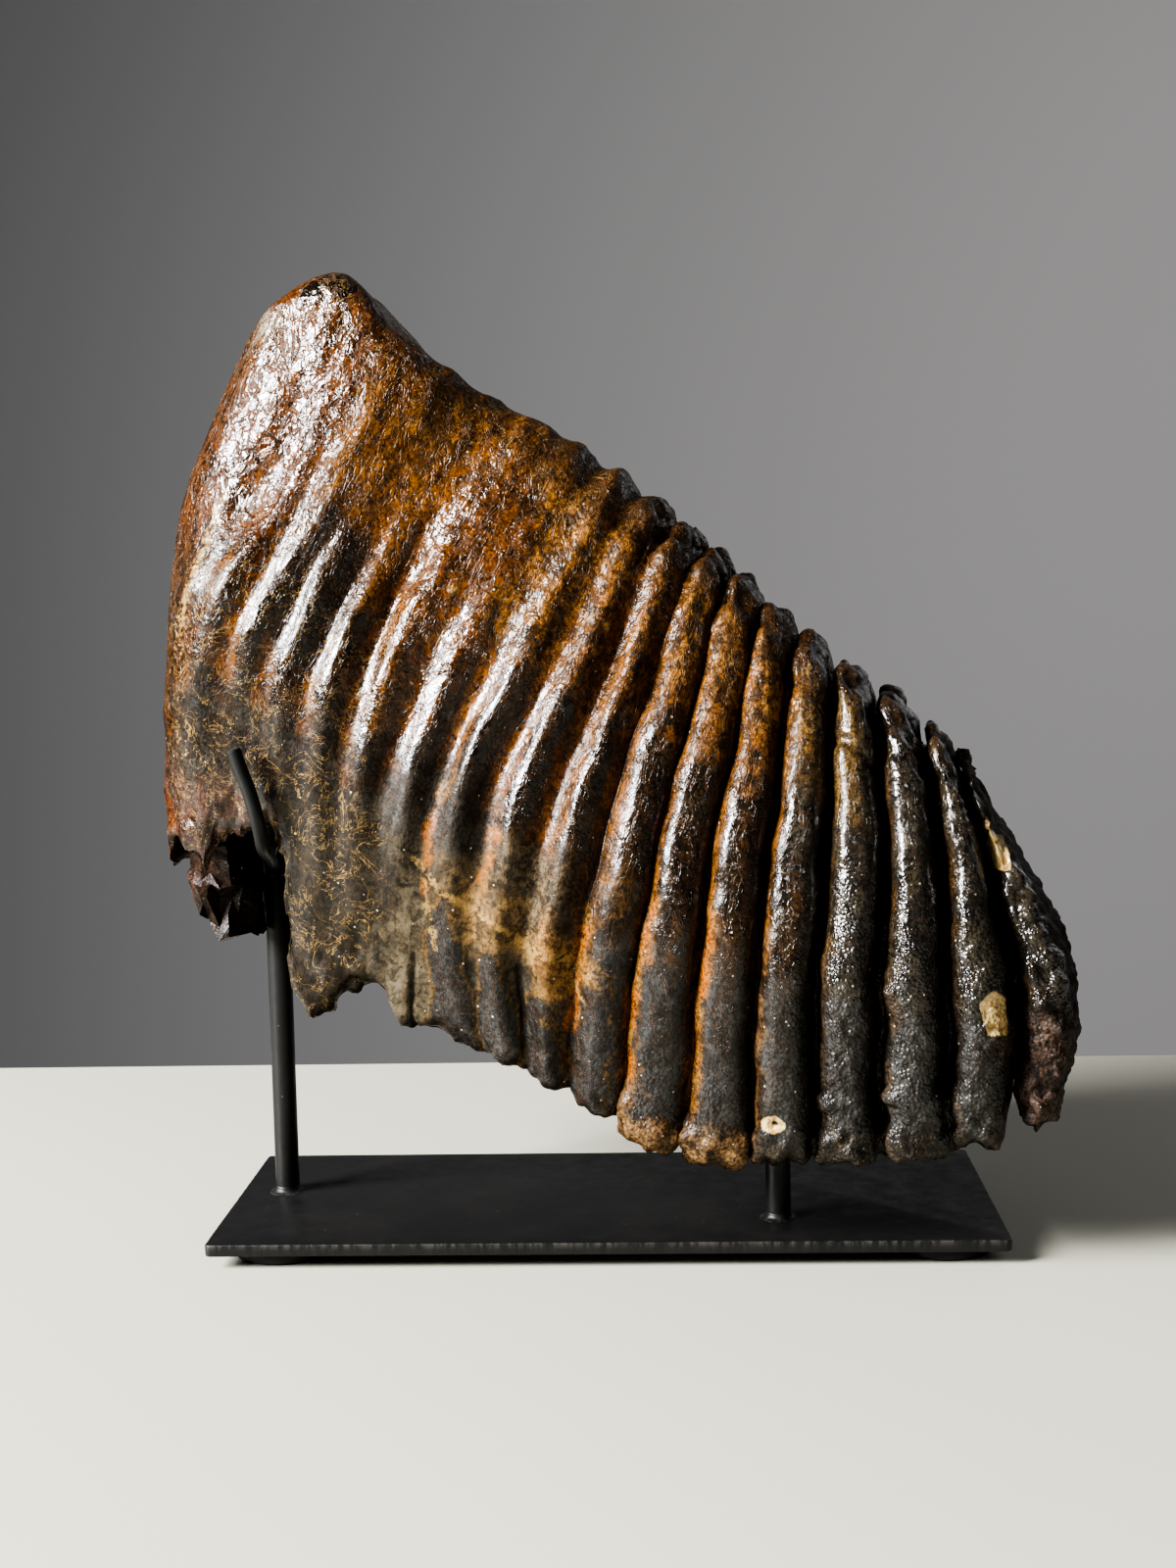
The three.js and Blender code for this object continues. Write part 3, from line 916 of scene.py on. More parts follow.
@dataclass(frozen=True)
class ToothForm:
    """Thickness, grooves and edges of the tooth over its guide surface."""

    guide: GuideSurface = field(default_factory=GuideSurface)
    half_thickness: float = 42.0
    lip_rise: float = 4.0
    lip_run: float = 4.0
    shoulder_rise: float = 15.0
    shoulder_run: float = 15.0
    groove_depths: Pairs = (
        (0, 1.2), (3, 2.0), (5, 2.8), (7, 3.3), (9, 4.2), (10.5, 5.6), (12.5, 8.5), (14, 11), (18, 12.5))
    groove_slots: Pairs = ((0, 1), (11, 1), (13, 0.95), (15, 0.88), (18, 0.86))
    groove_powers: Pairs = ((0, 2.0), (9, 2.0), (11, 2.2), (13, 2.4), (18, 2.5))
    lower_notches: Pairs = (
        (0, 0), (6, 0.5), (8, 1), (10, 1.5), (12, 1), (16.5, 1), (17, 15), (18, 15))
    crest_notches: Pairs = ((0, 0.3), (6, 0.6), (7.5, 3), (10, 4), (14, 7), (18, 9))
    ceiling_heights: Pairs = ((0, 0), (0.4, 4), (1, 6), (3, 4), (6, 5), (17, 6), (18, 0))
    back_drops: Pairs = ((0, 0), (1.2, 3), (2.5, 5), (7, 4), (9, 0))
    bridges: tuple[Place, ...] = (
        (16.0, 0.15, 7.0), (15.0, 0.08, 5.0), (14.0, 0.07, 5.0), (13.0, 0.06, 4.0), (12.0, 0.05, 3.0))
    wobble: float = 0.085
    ripple_lean: float = 2.6
    ridge_shifts: Pairs = ((0, 0), (3.5, 0), (4.5, 0.12), (9, 0.1), (11, 0))
    ragged: Pairs = (
        (0, 0), (0.4, 1.4), (2.4, 1.6), (3.2, 0.8), (9, 0.9), (11, 1.5), (17.6, 1.8), (18, 0))
    crest_bumps: Pairs = ((0, 0), (6, 0.2), (9, 1.2), (17.5, 1.4), (18, 0))
    roundness: Pairs = ((0, 0.35), (3.5, 0.45), (7, 1))
    crest_leans: Pairs = ((0, 0.26), (3, 0.28), (6.5, 0.58), (14, 0.55))
    crest_starts: Pairs = ((0, 0.46), (4, 0.42), (6.5, 0.33), (9, 0.36))
    crest_powers: Pairs = ((0, 1.8), (4, 1.7), (6.5, 1.4))
    root_tapers: Pairs = ((0, 0.28), (8, 0.28), (12, 0.2))
    root_rises: Pairs = ((0, 0.6), (3, 0.52), (6.5, 0.37), (9, 0.41), (11, 0.46), (13, 0.4))
    swell: float = 5.0
    dip: float = 3.4

    def ridge(self, plate: Array, rise: Array) -> Array:
        """Gives 1 on the ridge of a plate and 0 in the groove between two plates.

        Args:
            plate: Plate numbers.
            rise: Rises, where the front plates lean away from their guide lines.

        Returns:
            Height of the ridges as a share of the grooves' depth.
        """
        lean = self.ripple_lean * np.clip(rise - 0.5, 0, 0.42) * (1 - ramp(2.2, 5.5, plate))
        leaning = plate - lean - follow(self.ridge_shifts, plate)
        across = np.abs(2 * (leaning - np.floor(leaning)) - 1)
        waves = 0.5 + 0.5 * np.cos(np.pi * across)
        slot = follow(self.groove_slots, plate)
        rods = rounded_fall(across / slot, follow(self.groove_powers, plate))
        profile = waves + (rods - waves) * ramp(8.5, 11.5, plate)
        outer = np.maximum(ramp(0.5, 0.1, plate), (plate > self.guide.plate_count - 0.5) * 1.0)
        return np.maximum(profile, outer)

    def groove_depth(self, plate: Array, rise: Array) -> Array:
        """Deep between the rear plates, filled with cement near the front and the roots.

        Args:
            plate: Plate numbers.
            rise: Rises from root to crest.

        Returns:
            Depth of the groove at each place.
        """
        depth = follow(self.groove_depths, plate)
        worn_top = ramp(0.62, 0.86, rise) * (1 - ramp(6.2, 8.6, plate))
        cement_foot = (1 - ramp(0.22, 0.42, rise)) * (1 - ramp(7.2, 9.8, plate))
        front_foot = (1 - ramp(0.36, 0.54, rise)) * (1 - ramp(3.5, 6.5, plate))
        bridged = np.zeros(np.broadcast(plate, rise).shape)
        for middle, top, reach in self.bridges:
            climb = (rise - top) * 105
            web = ramp(0.5 * reach, -0.3 * reach, climb) * (np.abs(plate - middle) < 0.5)
            bridged = np.maximum(bridged, web)
        filled_top = 0.5 * ramp(0.7, 0.9, rise) * band(8.4, 13.2, 1.0, plate)
        depth = depth * (1 - filled_top) * (1 - 0.9 * worn_top)
        return depth * (1 - 0.85 * cement_foot) * (1 - 0.8 * front_foot) * (1 - 0.62 * bridged)

    def thickness(self, plate: Array, rise: Array) -> Array:
        """Half the thickness of the tooth, before the grooves are cut.

        Args:
            plate: Plate numbers.
            rise: Rises from root to crest.

        Returns:
            The half thickness.
        """
        near_front = np.clip(1 - plate / 3.2, 0, 1)
        turned_end = rounded_fall(1 - np.minimum(1, plate / 0.9), 2.2) * (1 - 0.28 * near_front)
        round_end = rounded_fall(1 - np.minimum(1, plate / 1.5), 2.0) * (1 + 0.04 * near_front)
        front_end = round_end + (turned_end - round_end) * ramp(0.55, 0.72, rise)
        count = self.guide.plate_count
        middle = np.minimum(np.floor(plate), count - 1) + 0.5
        stepped = np.where(plate > 13, middle + 0.3 * (plate - middle), plate)
        rear_end = rounded_fall((stepped - 13) / (count - 13), 4.2)
        rear_end = rear_end * rounded_fall(np.clip((plate - count + 0.36) / 0.36, 0, 1), 2.0)
        lean = follow(self.crest_leans, plate)
        begin = follow(self.crest_starts, plate)
        power = follow(self.crest_powers, plate)
        crest = 1 - lean * (np.clip(rise - begin, 0, 1) / (1 - begin)) ** power
        taper = follow(self.root_tapers, plate)
        foot = follow(self.root_rises, plate)
        roots = 1 - taper * (np.clip(foot - rise, 0, 1) / foot) ** 1.5
        swell = self.swell * ramp(4.9, 6.3, plate) * (1 - ramp(7.2, 10, plate))
        dip = self.dip * ramp(2.8, 4.9, plate) * (1 - ramp(5.0, 6.2, plate))
        swell, dip = swell * ramp(0.45, 0.75, rise), dip * ramp(0.5, 0.72, rise)
        return (self.half_thickness + swell - dip) * front_end * rear_end * crest * roots


class Region(Enum):
    """Parts of a ring round the tooth."""

    FRONT = 0
    CREST = 1
    BACK = 2
    UNDERSIDE = 3


@dataclass
class SkinField:
    """Numbers of every vertex of the tooth's skin."""

    plate: Array
    rise: Array
    off: Array
    above_hem: Array
    below_crest: Array
    ridge: Array
    length: Array
    region: Array

    @property
    def across(self) -> Array:
        """Distance from the middle of the plate: 0 there and 1 in the groove."""
        return np.abs(2 * (self.plate - np.floor(self.plate)) - 1)

    def picked(self, rows: Array) -> "SkinField":
        """Gives the numbers of some vertices."""
        return SkinField(**{key: value[rows] for key, value in vars(self).items()})

    def place(self, plate: float, rise: float, pitch: float) -> tuple[Array, Array]:
        """Measures from a spot on the face, along the row of plates and up the plate."""
        return (self.plate - plate) * pitch, (self.rise - rise) * self.length


@dataclass
class ToothSkin:
    """Welded skin of the tooth before its relief."""

    form: ToothForm
    seed: int = 7
    columns: Pairs = ((0, 18), (7, 20), (12, 25), (16, 25), (17, 54))
    lip_steps: int = 4
    face_steps: int = 100
    shoulder_steps: int = 10
    crest_steps: int = 24
    under_steps: int = 38

    def _plates(self) -> Array:
        """Plate numbers of the rings, closest together at the walls of the grooves.

        Returns:
            One plate number per ring.
        """
        plates, numbers = self.form.guide.plate_count, []
        for plate in range(plates):
            count = int(follow(self.columns, np.array(plate)))
            even = np.arange(count) / count
            eased = 0.45 * even + 0.55 * (0.5 - 0.5 * np.cos(np.pi * even))
            numbers.append(plate + (np.sin(np.pi / 2 * even) if plate == plates - 1 else eased))
        return np.append(np.concatenate(numbers), plates)

    def _side(self, plate: Array, hem: Pairs, noise: LatticeNoise, shift: float) -> dict[str, Array]:
        """Runs up one side of each ring from its lower lip to the crest.

        Args:
            plate: Plate number of each ring.
            hem: Lower edge of this side.
            noise: Noise to draw from.
            shift: Offset in the noise, 0 on the front.

        Returns:
            The rise and the distance from the middle plane of every vertex, both ends of the
            side and the length of each guide line.
        """
        form = self.form
        column = plate[:, None]
        length = form.guide.length(plate)[:, None]
        edge_ridge = form.ridge(column, np.zeros_like(column))
        crest_ridge = form.ridge(column, np.ones_like(column))
        hem_rise = form.guide.hem_rise(plate, hem)[:, None]
        rows = np.stack([plate * 14, np.full_like(plate, shift), np.zeros_like(plate)], axis=1)
        torn = noise.smooth(rows, 5.5) + 0.6 * noise.smooth(rows, 2.2)
        low = hem_rise + (follow(form.lower_notches, column) * (1 - edge_ridge)
                          + follow(form.ragged, column) * torn[:, None]) / length
        bump = noise.smooth(rows + 50, 6.0)[:, None] * follow(form.crest_bumps, column)
        drop = follow(form.back_drops, column) if shift else 0.0
        notch = follow(form.crest_notches, column) * (1 - crest_ridge)
        high = 1 - (notch + np.abs(bump) + drop) / length

        def thickness(rise: Array) -> Array:
            """Half thickness with the grooves cut."""
            cut = form.groove_depth(column, rise) * (1 - form.ridge(column, rise))
            return np.maximum(form.thickness(column, rise) - cut, 0)

        lip_run = np.minimum(form.lip_run, 0.35 * thickness(low))
        roundness = follow(form.roundness, column)
        shoulder_run = np.minimum(form.shoulder_run * roundness, 0.5 * thickness(high))
        lip_top = low + form.lip_rise / length
        shoulder_foot = high - form.shoulder_rise * roundness / length
        lip_turn = np.arange(self.lip_steps)[None] / self.lip_steps * np.pi / 2
        lip = lip_top - (lip_top - low) * np.cos(lip_turn)
        face = lip_top + (shoulder_foot - lip_top) * np.arange(self.face_steps)[None] / self.face_steps
        turn = np.arange(self.shoulder_steps + 1)[None] / self.shoulder_steps * np.pi / 2
        shoulder = shoulder_foot + (high - shoulder_foot) * np.sin(turn)
        rise = np.concatenate([lip, face, shoulder], axis=1)
        pull = np.concatenate([lip_run * (1 - np.sin(lip_turn)), np.zeros_like(face),
                               shoulder_run * (1 - np.cos(turn))], axis=1)
        return {"rise": rise, "off": thickness(rise) - pull, "low": low, "high": high, "length": length}

    def build(self) -> tuple[Array, Array, SkinField, Array]:
        """Skins the tooth.

        Returns:
            The vertices in the tooth's own frame, the triangles, the numbers of each vertex, and the
            place of each triangle corner on an unrolled map.
        """
        noise = LatticeNoise(self.seed)
        plate = self._plates()
        front = self._side(plate, self.form.guide.front_hem, noise, 0.0)
        back = self._side(plate, self.form.guide.back_hem, noise, 90.0)
        ends = ramp(0, 0.5, plate) * ramp(0, 0.5, self.form.guide.plate_count - plate)
        back["rise"] = front["rise"] + (back["rise"] - front["rise"]) * ends[:, None]
        length, high = front["length"], front["high"]
        half = {key: back[key][:, ::2] for key in ("rise", "off")}
        share = np.arange(1, self.crest_steps)[None] / self.crest_steps
        front_top, back_top = front["off"][:, -1:], half["off"][:, -1:]
        crest_off = front_top - (front_top + back_top) * share
        crest_rise = front["rise"][:, -1:] + (half["rise"][:, -1:] - front["rise"][:, -1:]) * share
        across = -np.cos(np.arange(1, self.under_steps)[None] / self.under_steps * np.pi)
        front_lip, back_lip = front["rise"][:, :1], half["rise"][:, :1]
        hollow = follow(self.form.ceiling_heights, plate)[:, None]
        ceiling = np.maximum(front_lip, back_lip) + hollow / length
        lip = np.where(across < 0, back_lip, front_lip)
        under_rise = lip + (ceiling - lip) * (1 - np.abs(across) ** 5)
        under_off = np.where(across < 0, across * half["off"][:, :1], across * front["off"][:, :1])
        rise = np.concatenate([front["rise"], crest_rise, half["rise"][:, ::-1], under_rise], axis=1)
        off = np.concatenate([front["off"], crest_off, -half["off"][:, ::-1], under_off], axis=1)
        counts = (front["rise"].shape[1], self.crest_steps - 1, half["rise"].shape[1], self.under_steps - 1)
        region = np.repeat([part.value for part in Region], counts)[None].repeat(len(plate), axis=0)
        column = np.repeat(plate[:, None], rise.shape[1], axis=1)
        wobble = self._wobble(column, rise, off, noise)
        x, z = self.form.guide.point(column + wobble, rise)
        points = np.stack([x, -off, z], axis=-1)
        low = np.where(off > 0, front["low"], back["low"])
        fields = SkinField(
            plate=column, rise=rise, off=off, above_hem=(rise - low) * length,
            below_crest=(high - rise) * length, ridge=self.form.ridge(column, rise),
            length=np.repeat(length, rise.shape[1], axis=1), region=region)
        return self._weld(points, fields)

    def _wobble(self, plate: Array, rise: Array, off: Array, noise: LatticeNoise) -> Array:
        """Lets the plates wander a little sideways along their length.

        Args:
            plate: Plate numbers.
            rise: Rises from root to crest.
            off: Distances from the middle plane.
            noise: Noise to draw from.

        Returns:
            Shift of each vertex, in plates.
        """
        rows = np.stack([plate * 9, rise * 130, np.sign(off) * np.minimum(np.abs(off), 20)], axis=-1)
        ends = ramp(0, 1, plate) * ramp(0, 1, self.form.guide.plate_count - plate)
        return self.form.wobble * ends * (noise.smooth(rows, 24.0) + 0.45 * noise.smooth(rows, 10.0))

    def _weld(self, points: Array, fields: SkinField) -> tuple[Array, Array, SkinField, Array]:
        """Joins the grid into one closed mesh, with half as many vertices on the two end rings.

        Args:
            points: Grid of vertices, one row per ring.
            fields: Numbers of the grid.

        Returns:
            What build returns.
        """
        rings, count = points.shape[:2]
        side = self.lip_steps + self.face_steps + self.shoulder_steps
        points[[0, -1], 1:side:2] = points[[0, -1], 0:side - 1:2]
        flat = points.reshape(-1, 3)
        _, first, merged = np.unique(np.round(flat, 4), axis=0, return_index=True, return_inverse=True)
        merged = merged.ravel()
        grid = np.arange(rings * count).reshape(rings, count)
        a, b = grid[:-1], np.roll(grid[:-1], -1, axis=1)
        c, d = np.roll(grid[1:], -1, axis=1), grid[1:]
        raw = np.concatenate([np.stack(turn, axis=-1).reshape(-1, 3) for turn in ((a, d, c), (a, c, b))])
        triangles = merged[raw]
        whole = (triangles != np.roll(triangles, 1, axis=1)).all(axis=1)
        closed = np.concatenate([points, points[:, :1]], axis=1)
        steps = np.linalg.norm(np.diff(closed, axis=1), axis=2).mean(axis=0)
        around = np.concatenate([[0], np.cumsum(steps)]) / steps.sum()
        corner_v = around[raw % count]
        wrapped = (raw % count == 0) & ((raw % count).max(axis=1, keepdims=True) == count - 1)
        corner_v = np.where(wrapped, 1.0, corner_v)
        unrolled = np.stack([raw // count / (rings - 1), corner_v], axis=-1)
        flat_fields = SkinField(**{key: value.reshape(-1) for key, value in vars(fields).items()})
        return flat[first], triangles[whole], flat_fields.picked(first), unrolled[whole]


# ---- tooth: relief and markings ----


@dataclass(frozen=True)
class Chip:
    """Broken spot that shows pale dentine, with straight-sided edges."""

    plate: float
    rise: float
    width: float
    height: float
    turn: float
    sides: int
    seed: int
    depth: float = 0.9
    ring: float = 0.0

    def distance(self, fields: SkinField, pitch: float) -> Array:
        """Measures how far each vertex lies outside the chip's outline, negative inside it.

        Args:
            fields: Numbers of each vertex.
            pitch: Width of a plate.

        Returns:
            One distance per vertex.
        """
        along, up = fields.place(self.plate, self.rise, pitch)
        turn = math.radians(self.turn)
        right = (along * math.cos(turn) + up * math.sin(turn)) / (self.width / 2)
        over = (up * math.cos(turn) - along * math.sin(turn)) / (self.height / 2)
        draw = np.random.default_rng(self.seed)
        reach = np.full(len(along), -np.inf)
        for side in range(self.sides):
            angle = 2 * math.pi * (side + draw.uniform(-0.25, 0.25)) / self.sides
            edge = draw.uniform(0.75, 1.0)
            reach = np.maximum(reach, right * math.cos(angle) + over * math.sin(angle) - edge)
        outside = reach * min(self.width, self.height) / 2
        if self.ring:
            outside = np.abs(outside + self.ring) - self.ring
        return np.where(fields.off > 0, outside, FAR)


@dataclass(frozen=True)
class Knob:
    """Rounded lump on the tooth's face."""

    plate: float
    rise: float
    radius: float
    height: float


@dataclass(frozen=True)
class Vein:
    """Thin line on the shown side, such as a vein or a crack, through spots given as plate and rise."""

    spots: Pairs

    def distance(self, fields: SkinField, pitch: float) -> Array:
        """Measures how far each vertex of the shown side lies from the line.

        Args:
            fields: Numbers of each vertex.
            pitch: Width of a plate.

        Returns:
            One distance per vertex.
        """
        best = np.full(len(fields.plate), FAR)
        for start, end in zip(self.spots, self.spots[1:]):
            along, up = fields.place(*start, pitch)
            run = (end[0] - start[0]) * pitch
            climb = (end[1] - start[1]) * fields.length
            share = np.clip((along * run + up * climb) / (run * run + climb * climb), 0, 1)
            best = np.minimum(best, np.hypot(along - share * run, up - share * climb))
        return np.where(fields.off > 0, best, FAR)


@dataclass
class ToothRelief:
    """Lumps, wrinkles, chips and marks of the tooth."""

    pitch: float = 14.0
    seed: int = 21
    chips: tuple[Chip, ...] = (
        Chip(17.4, 0.765, 10, 16.5, -20, 5, 3),
        Chip(16.68, 0.345, 5, 11.5, -8, 5, 5),
        Chip(13.35, 0.09, 5.2, 4.8, 0, 7, 8, 0.4, 0.65),
    )
    knobs: tuple[Knob, ...] = (
        Knob(14.15, 0.135, 2.6, 1.6), Knob(15.2, 0.365, 1.8, 1.0), Knob(15.2, 0.15, 2.4, 1.4),
        Knob(13.35, 0.09, 1.3, -2.2), Knob(6.0, 0.71, 1.0, 0.5), Knob(8.8, 0.78, 1.0, 0.5),
    )
    veins: tuple[Vein, ...] = (
        Vein(((6.9, 0.3), (7.5, 0.262), (8.5, 0.262), (9.2, 0.25), (9.9, 0.27), (10.2, 0.22))),
        Vein(((7.15, 0.27), (7.2, 0.23), (7.35, 0.17))),
        Vein(((1.0, 0.72), (0.9, 0.66), (0.85, 0.575), (0.8, 0.5))),
        Vein(((6.0, 0.708), (6.02, 0.712))),
        Vein(((8.8, 0.778), (8.81, 0.782))),
        Vein(((13.5, 0.938), (13.52, 0.944))),
    )
    rust_veins: tuple[Vein, ...] = (
        Vein(((7.4, 0.46), (7.25, 0.4), (7.15, 0.33), (7.15, 0.26))),
        Vein(((8.25, 0.4), (8.3, 0.34), (8.25, 0.3))),
        Vein(((11.2, 0.42), (11.1, 0.32), (11.05, 0.22), (11.05, 0.12))),
        Vein(((12.15, 0.44), (12.1, 0.34), (12.05, 0.22), (12.05, 0.1))),
        Vein(((10.15, 0.36), (10.1, 0.26), (10.05, 0.16))),
    )
    cracks: tuple[Vein, ...] = (
        Vein(((6.85, 0.15), (6.78, 0.09), (6.7, 0.03))),
        Vein(((9.05, 0.21), (9.1, 0.15), (9.05, 0.08))),
    )
    tongues: tuple[Place, ...] = (
        (7.55, 0.245, 0.46), (8.55, 0.215, 0.4), (9.45, 0.2, 0.4), (10.4, 0.26, 0.42))
    finger_width: float = 9.5
    crack_depth: float = 0.8
    slot_depth: float = 3.4

    def displace(self, points: Array, triangles: Array, fields: SkinField) -> Array:
        """Adds the relief in two passes, coarse and then fine.

        Args:
            points: Vertices of the plain skin.
            triangles: The skin's triangles.
            fields: Numbers of each vertex.

        Returns:
            The moved vertices.
        """
        noise = LatticeNoise(self.seed)
        seam = 0.4 + 0.6 * ramp(0, 0.2, fields.plate)
        coarse = self._coarse(points, fields, noise) * seam
        points = points + corner_normals(points, triangles) * coarse[:, None]
        fine = self._fine(points, fields, noise) * seam
        return points + corner_normals(points, triangles) * fine[:, None]

    def _reach(self, shapes: tuple[Chip | Vein, ...], fields: SkinField) -> Array:
        """Measures how far each vertex lies from the nearest of some chips or lines."""
        return np.min([shape.distance(fields, self.pitch) for shape in shapes], axis=0)

    def rib_rows(self, fields: SkinField) -> Array:
        """Unrolled places: along the row of plates, up the plate, and through the tooth."""
        return np.stack([fields.plate * self.pitch, fields.rise * fields.length, fields.off], axis=1)

    def _coarse(self, points: Array, fields: SkinField, noise: LatticeNoise) -> Array:
        """Lumps wider than about 6 mm.

        Args:
            points: Vertices, one row each.
            fields: Numbers of each vertex.
            noise: Noise to draw from.

        Returns:
            Height of each vertex.
        """
        rows = self.rib_rows(fields)
        under = fields.region == Region.UNDERSIDE.value
        lumps = 0.8 * noise.smooth(rows, np.array([16.0, 34.0, 24.0]))
        lumps = lumps + 0.5 * noise.smooth(rows + 9, np.array([9, 15, 12.0]))
        knuckles = 0.55 * noise.smooth(rows + 40, np.array([11.0, 9.0, 14.0]))
        knuckles = knuckles * ramp(8, 13, fields.plate)
        shift = (lumps + knuckles) * (0.35 + 0.65 * fields.ridge)
        shift += self._fingers(fields, noise)
        shift += self._root_end(points, fields, noise)
        for knob in self.knobs:
            along, up = fields.place(knob.plate, knob.rise, self.pitch)
            reach = np.hypot(along, up) / knob.radius
            dome = np.sqrt(np.clip(1 - reach**2, 0, 1)) * knob.height * (fields.off > 0)
            shift += dome * ramp(1.0, 0.6, reach)
        for chip in self.chips:
            shift -= chip.depth * ramp(0.3, -0.7, chip.distance(fields, self.pitch))
        return np.where(under, shift * 0.6 - self._pulp_slots(fields), shift)

    def _fingers(self, fields: SkinField, noise: LatticeNoise) -> Array:
        """Rows of rounded fingers on the unworn crests of the rear plates.

        Args:
            fields: Numbers of each vertex.
            noise: Noise to draw from.

        Returns:
            Height of each vertex.
        """
        number = np.floor(fields.plate)
        phase = fields.off / self.finger_width + 0.37 * np.sin(number * 2.3)
        crease = 1 - np.abs(np.sin(np.pi * phase)) ** 0.6
        near = ramp(17, 4, fields.below_crest) * ramp(7.0, 9.0, fields.plate)
        lumps = noise.smooth(self.rib_rows(fields) + 77, 6.0)
        joint = 11 + 4 * np.sin(number * 1.9) + 0.12 * np.abs(fields.off)
        knuckle = np.exp(-((fields.below_crest - joint) / 1.5) ** 2) * ramp(11.5, 13.5, fields.plate)
        return near * (-2.4 * crease + 1.2 * lumps) - 1.3 * knuckle * fields.ridge

    def _root_end(self, points: Array, fields: SkinField, noise: LatticeNoise) -> Array:
        """Torn, cauliflower-like lower ends and the flared lips of two plates.

        Args:
            points: Vertices, one row each.
            fields: Numbers of each vertex.
            noise: Noise to draw from.

        Returns:
            Height of each vertex.
        """
        near = ramp(13, 2, fields.above_hem)
        nearest, _ = noise.cells(points, 5.0)
        lumps = (0.55 - nearest) * 2.6 * near * ramp(9, 12, fields.plate)
        torn = 1.2 * noise.fractal(points + 13, 7.0, 2) * near
        front_low = ramp(22, 8, fields.above_hem) * ramp(7.5, 5, fields.plate)
        torn += 1.5 * noise.fractal(points + 44, 9.0, 3) * front_low
        lip = band(11.15, 12.9, 0.15, fields.plate) * ramp(9, 5.5, fields.above_hem) * fields.ridge
        return lumps + torn + 1.3 * lip * (fields.off > 0)

    def _pulp_slots(self, fields: SkinField) -> Array:
        """Open pulp slots under the rear plates."""
        slot = ramp(0.55, 0.25, fields.across) * ramp(5.5, 7, fields.plate)
        return self.slot_depth * slot * ramp(34, 27, np.abs(fields.off))

    def _fine(self, points: Array, fields: SkinField, noise: LatticeNoise) -> Array:
        """Wrinkles, grain and pebbles from about 2 to 6 mm.

        Args:
            points: Vertices, one row each.
            fields: Numbers of each vertex.
            noise: Noise to draw from.

        Returns:
            Height of each vertex.
        """
        rows = self.rib_rows(fields)
        rear = ramp(13.2, 14.6, fields.plate)
        cement = self.cement_share(fields, noise, points)
        wrinkles = 0.13 * noise.smooth(points, np.array([4.2, 4.2, 6.0]))
        wrinkles = wrinkles + 0.05 * noise.smooth(points + 5, 2.4)
        nearest, second = noise.cells(points + 3, 3.4)
        creases = -0.09 * ramp(0.2, 0.0, second - nearest)
        low_end = ramp(0.65, 0.2, fields.rise)
        grain = (0.15 + 0.5 * low_end) * noise.smooth(points + 8, 2.2)
        grain += (0.12 + 0.58 * low_end) * (0.5 - noise.cells(points, 2.6)[0])
        growth = np.sin(2 * np.pi * (rows[:, 1] / 2.3 + 0.6 * noise.smooth(rows, 9.0)))
        tops = ramp(30, 16, fields.below_crest) * ramp(13, 14.5, fields.plate)
        pebbles = 0.5 * (0.5 - noise.cells(points + 21, 1.9)[0]) * self.tongue_share(fields)
        knobbly = ramp(16.9, 17.3, fields.plate) * (0.45 + 0.55 * ramp(0.85, 0.6, fields.rise))
        grain += 2.6 * knobbly * (0.5 - noise.cells(points + 4, 5.2)[0])
        hide = noise.smooth(rows + 31, np.array([4.6, 13.0, 8.0]))
        hide = hide + 0.5 * noise.smooth(rows + 52, np.array([3.0, 5.0, 5.0]))
        hide *= 0.34 + 0.4 * band(5.0, 6.5, 0.5, fields.plate)
        hide = hide * ramp(0.5, 0.68, fields.rise) * (1 - ramp(6, 9, fields.plate))
        split = self._reach(self.cracks, fields)
        pebbles -= self.crack_depth * ramp(0.9, 0.3, split + 0.3 * noise.smooth(points + 61, 2.5))
        fine = (wrinkles + creases + hide) * (1 - 0.6 * cement) * (1 - 0.5 * rear)
        return (fine + rear * grain + 0.2 * growth * tops + pebbles) * (0.4 + 0.6 * fields.ridge)

    def cement_share(self, fields: SkinField, noise: LatticeNoise, points: Array) -> Array:
        """Share of the surface that dull cement covers, low on the front plates.

        Args:
            fields: Numbers of each vertex.
            noise: Noise to draw from.
            points: Vertices, one row each.

        Returns:
            Share at each vertex.
        """
        drift = noise.fractal(points + 60, 26.0, 3)
        plate = fields.plate + 1.0 * drift
        rise = fields.rise + 0.07 * noise.fractal(points + 90, 15.0, 3)
        low = 1 - ramp(0.3, 0.44, rise)
        return low * (1 - ramp(8.8, 10.2, plate)) * ramp(1.6, 2.6, plate)

    def tongue_share(self, fields: SkinField) -> Array:
        """Share of smooth grey-blue enamel tongues that reach up into the cement.

        Args:
            fields: Numbers of each vertex.

        Returns:
            Share at each vertex.
        """
        share = np.zeros(len(fields.plate))
        noise, rows = LatticeNoise(self.seed + 7), self.rib_rows(fields)
        drift = 0.16 * noise.fractal(rows, 8.0, 3)
        for plate, top, width in self.tongues:
            across = np.abs(fields.plate + drift - plate) / width
            reach = across**2 + np.clip((fields.rise + 0.3 * drift - (top - 0.09)) / 0.09, 0, 5) ** 2
            share = np.maximum(share, ramp(1.3, 0.5, reach))
        return share * (fields.off > 0)

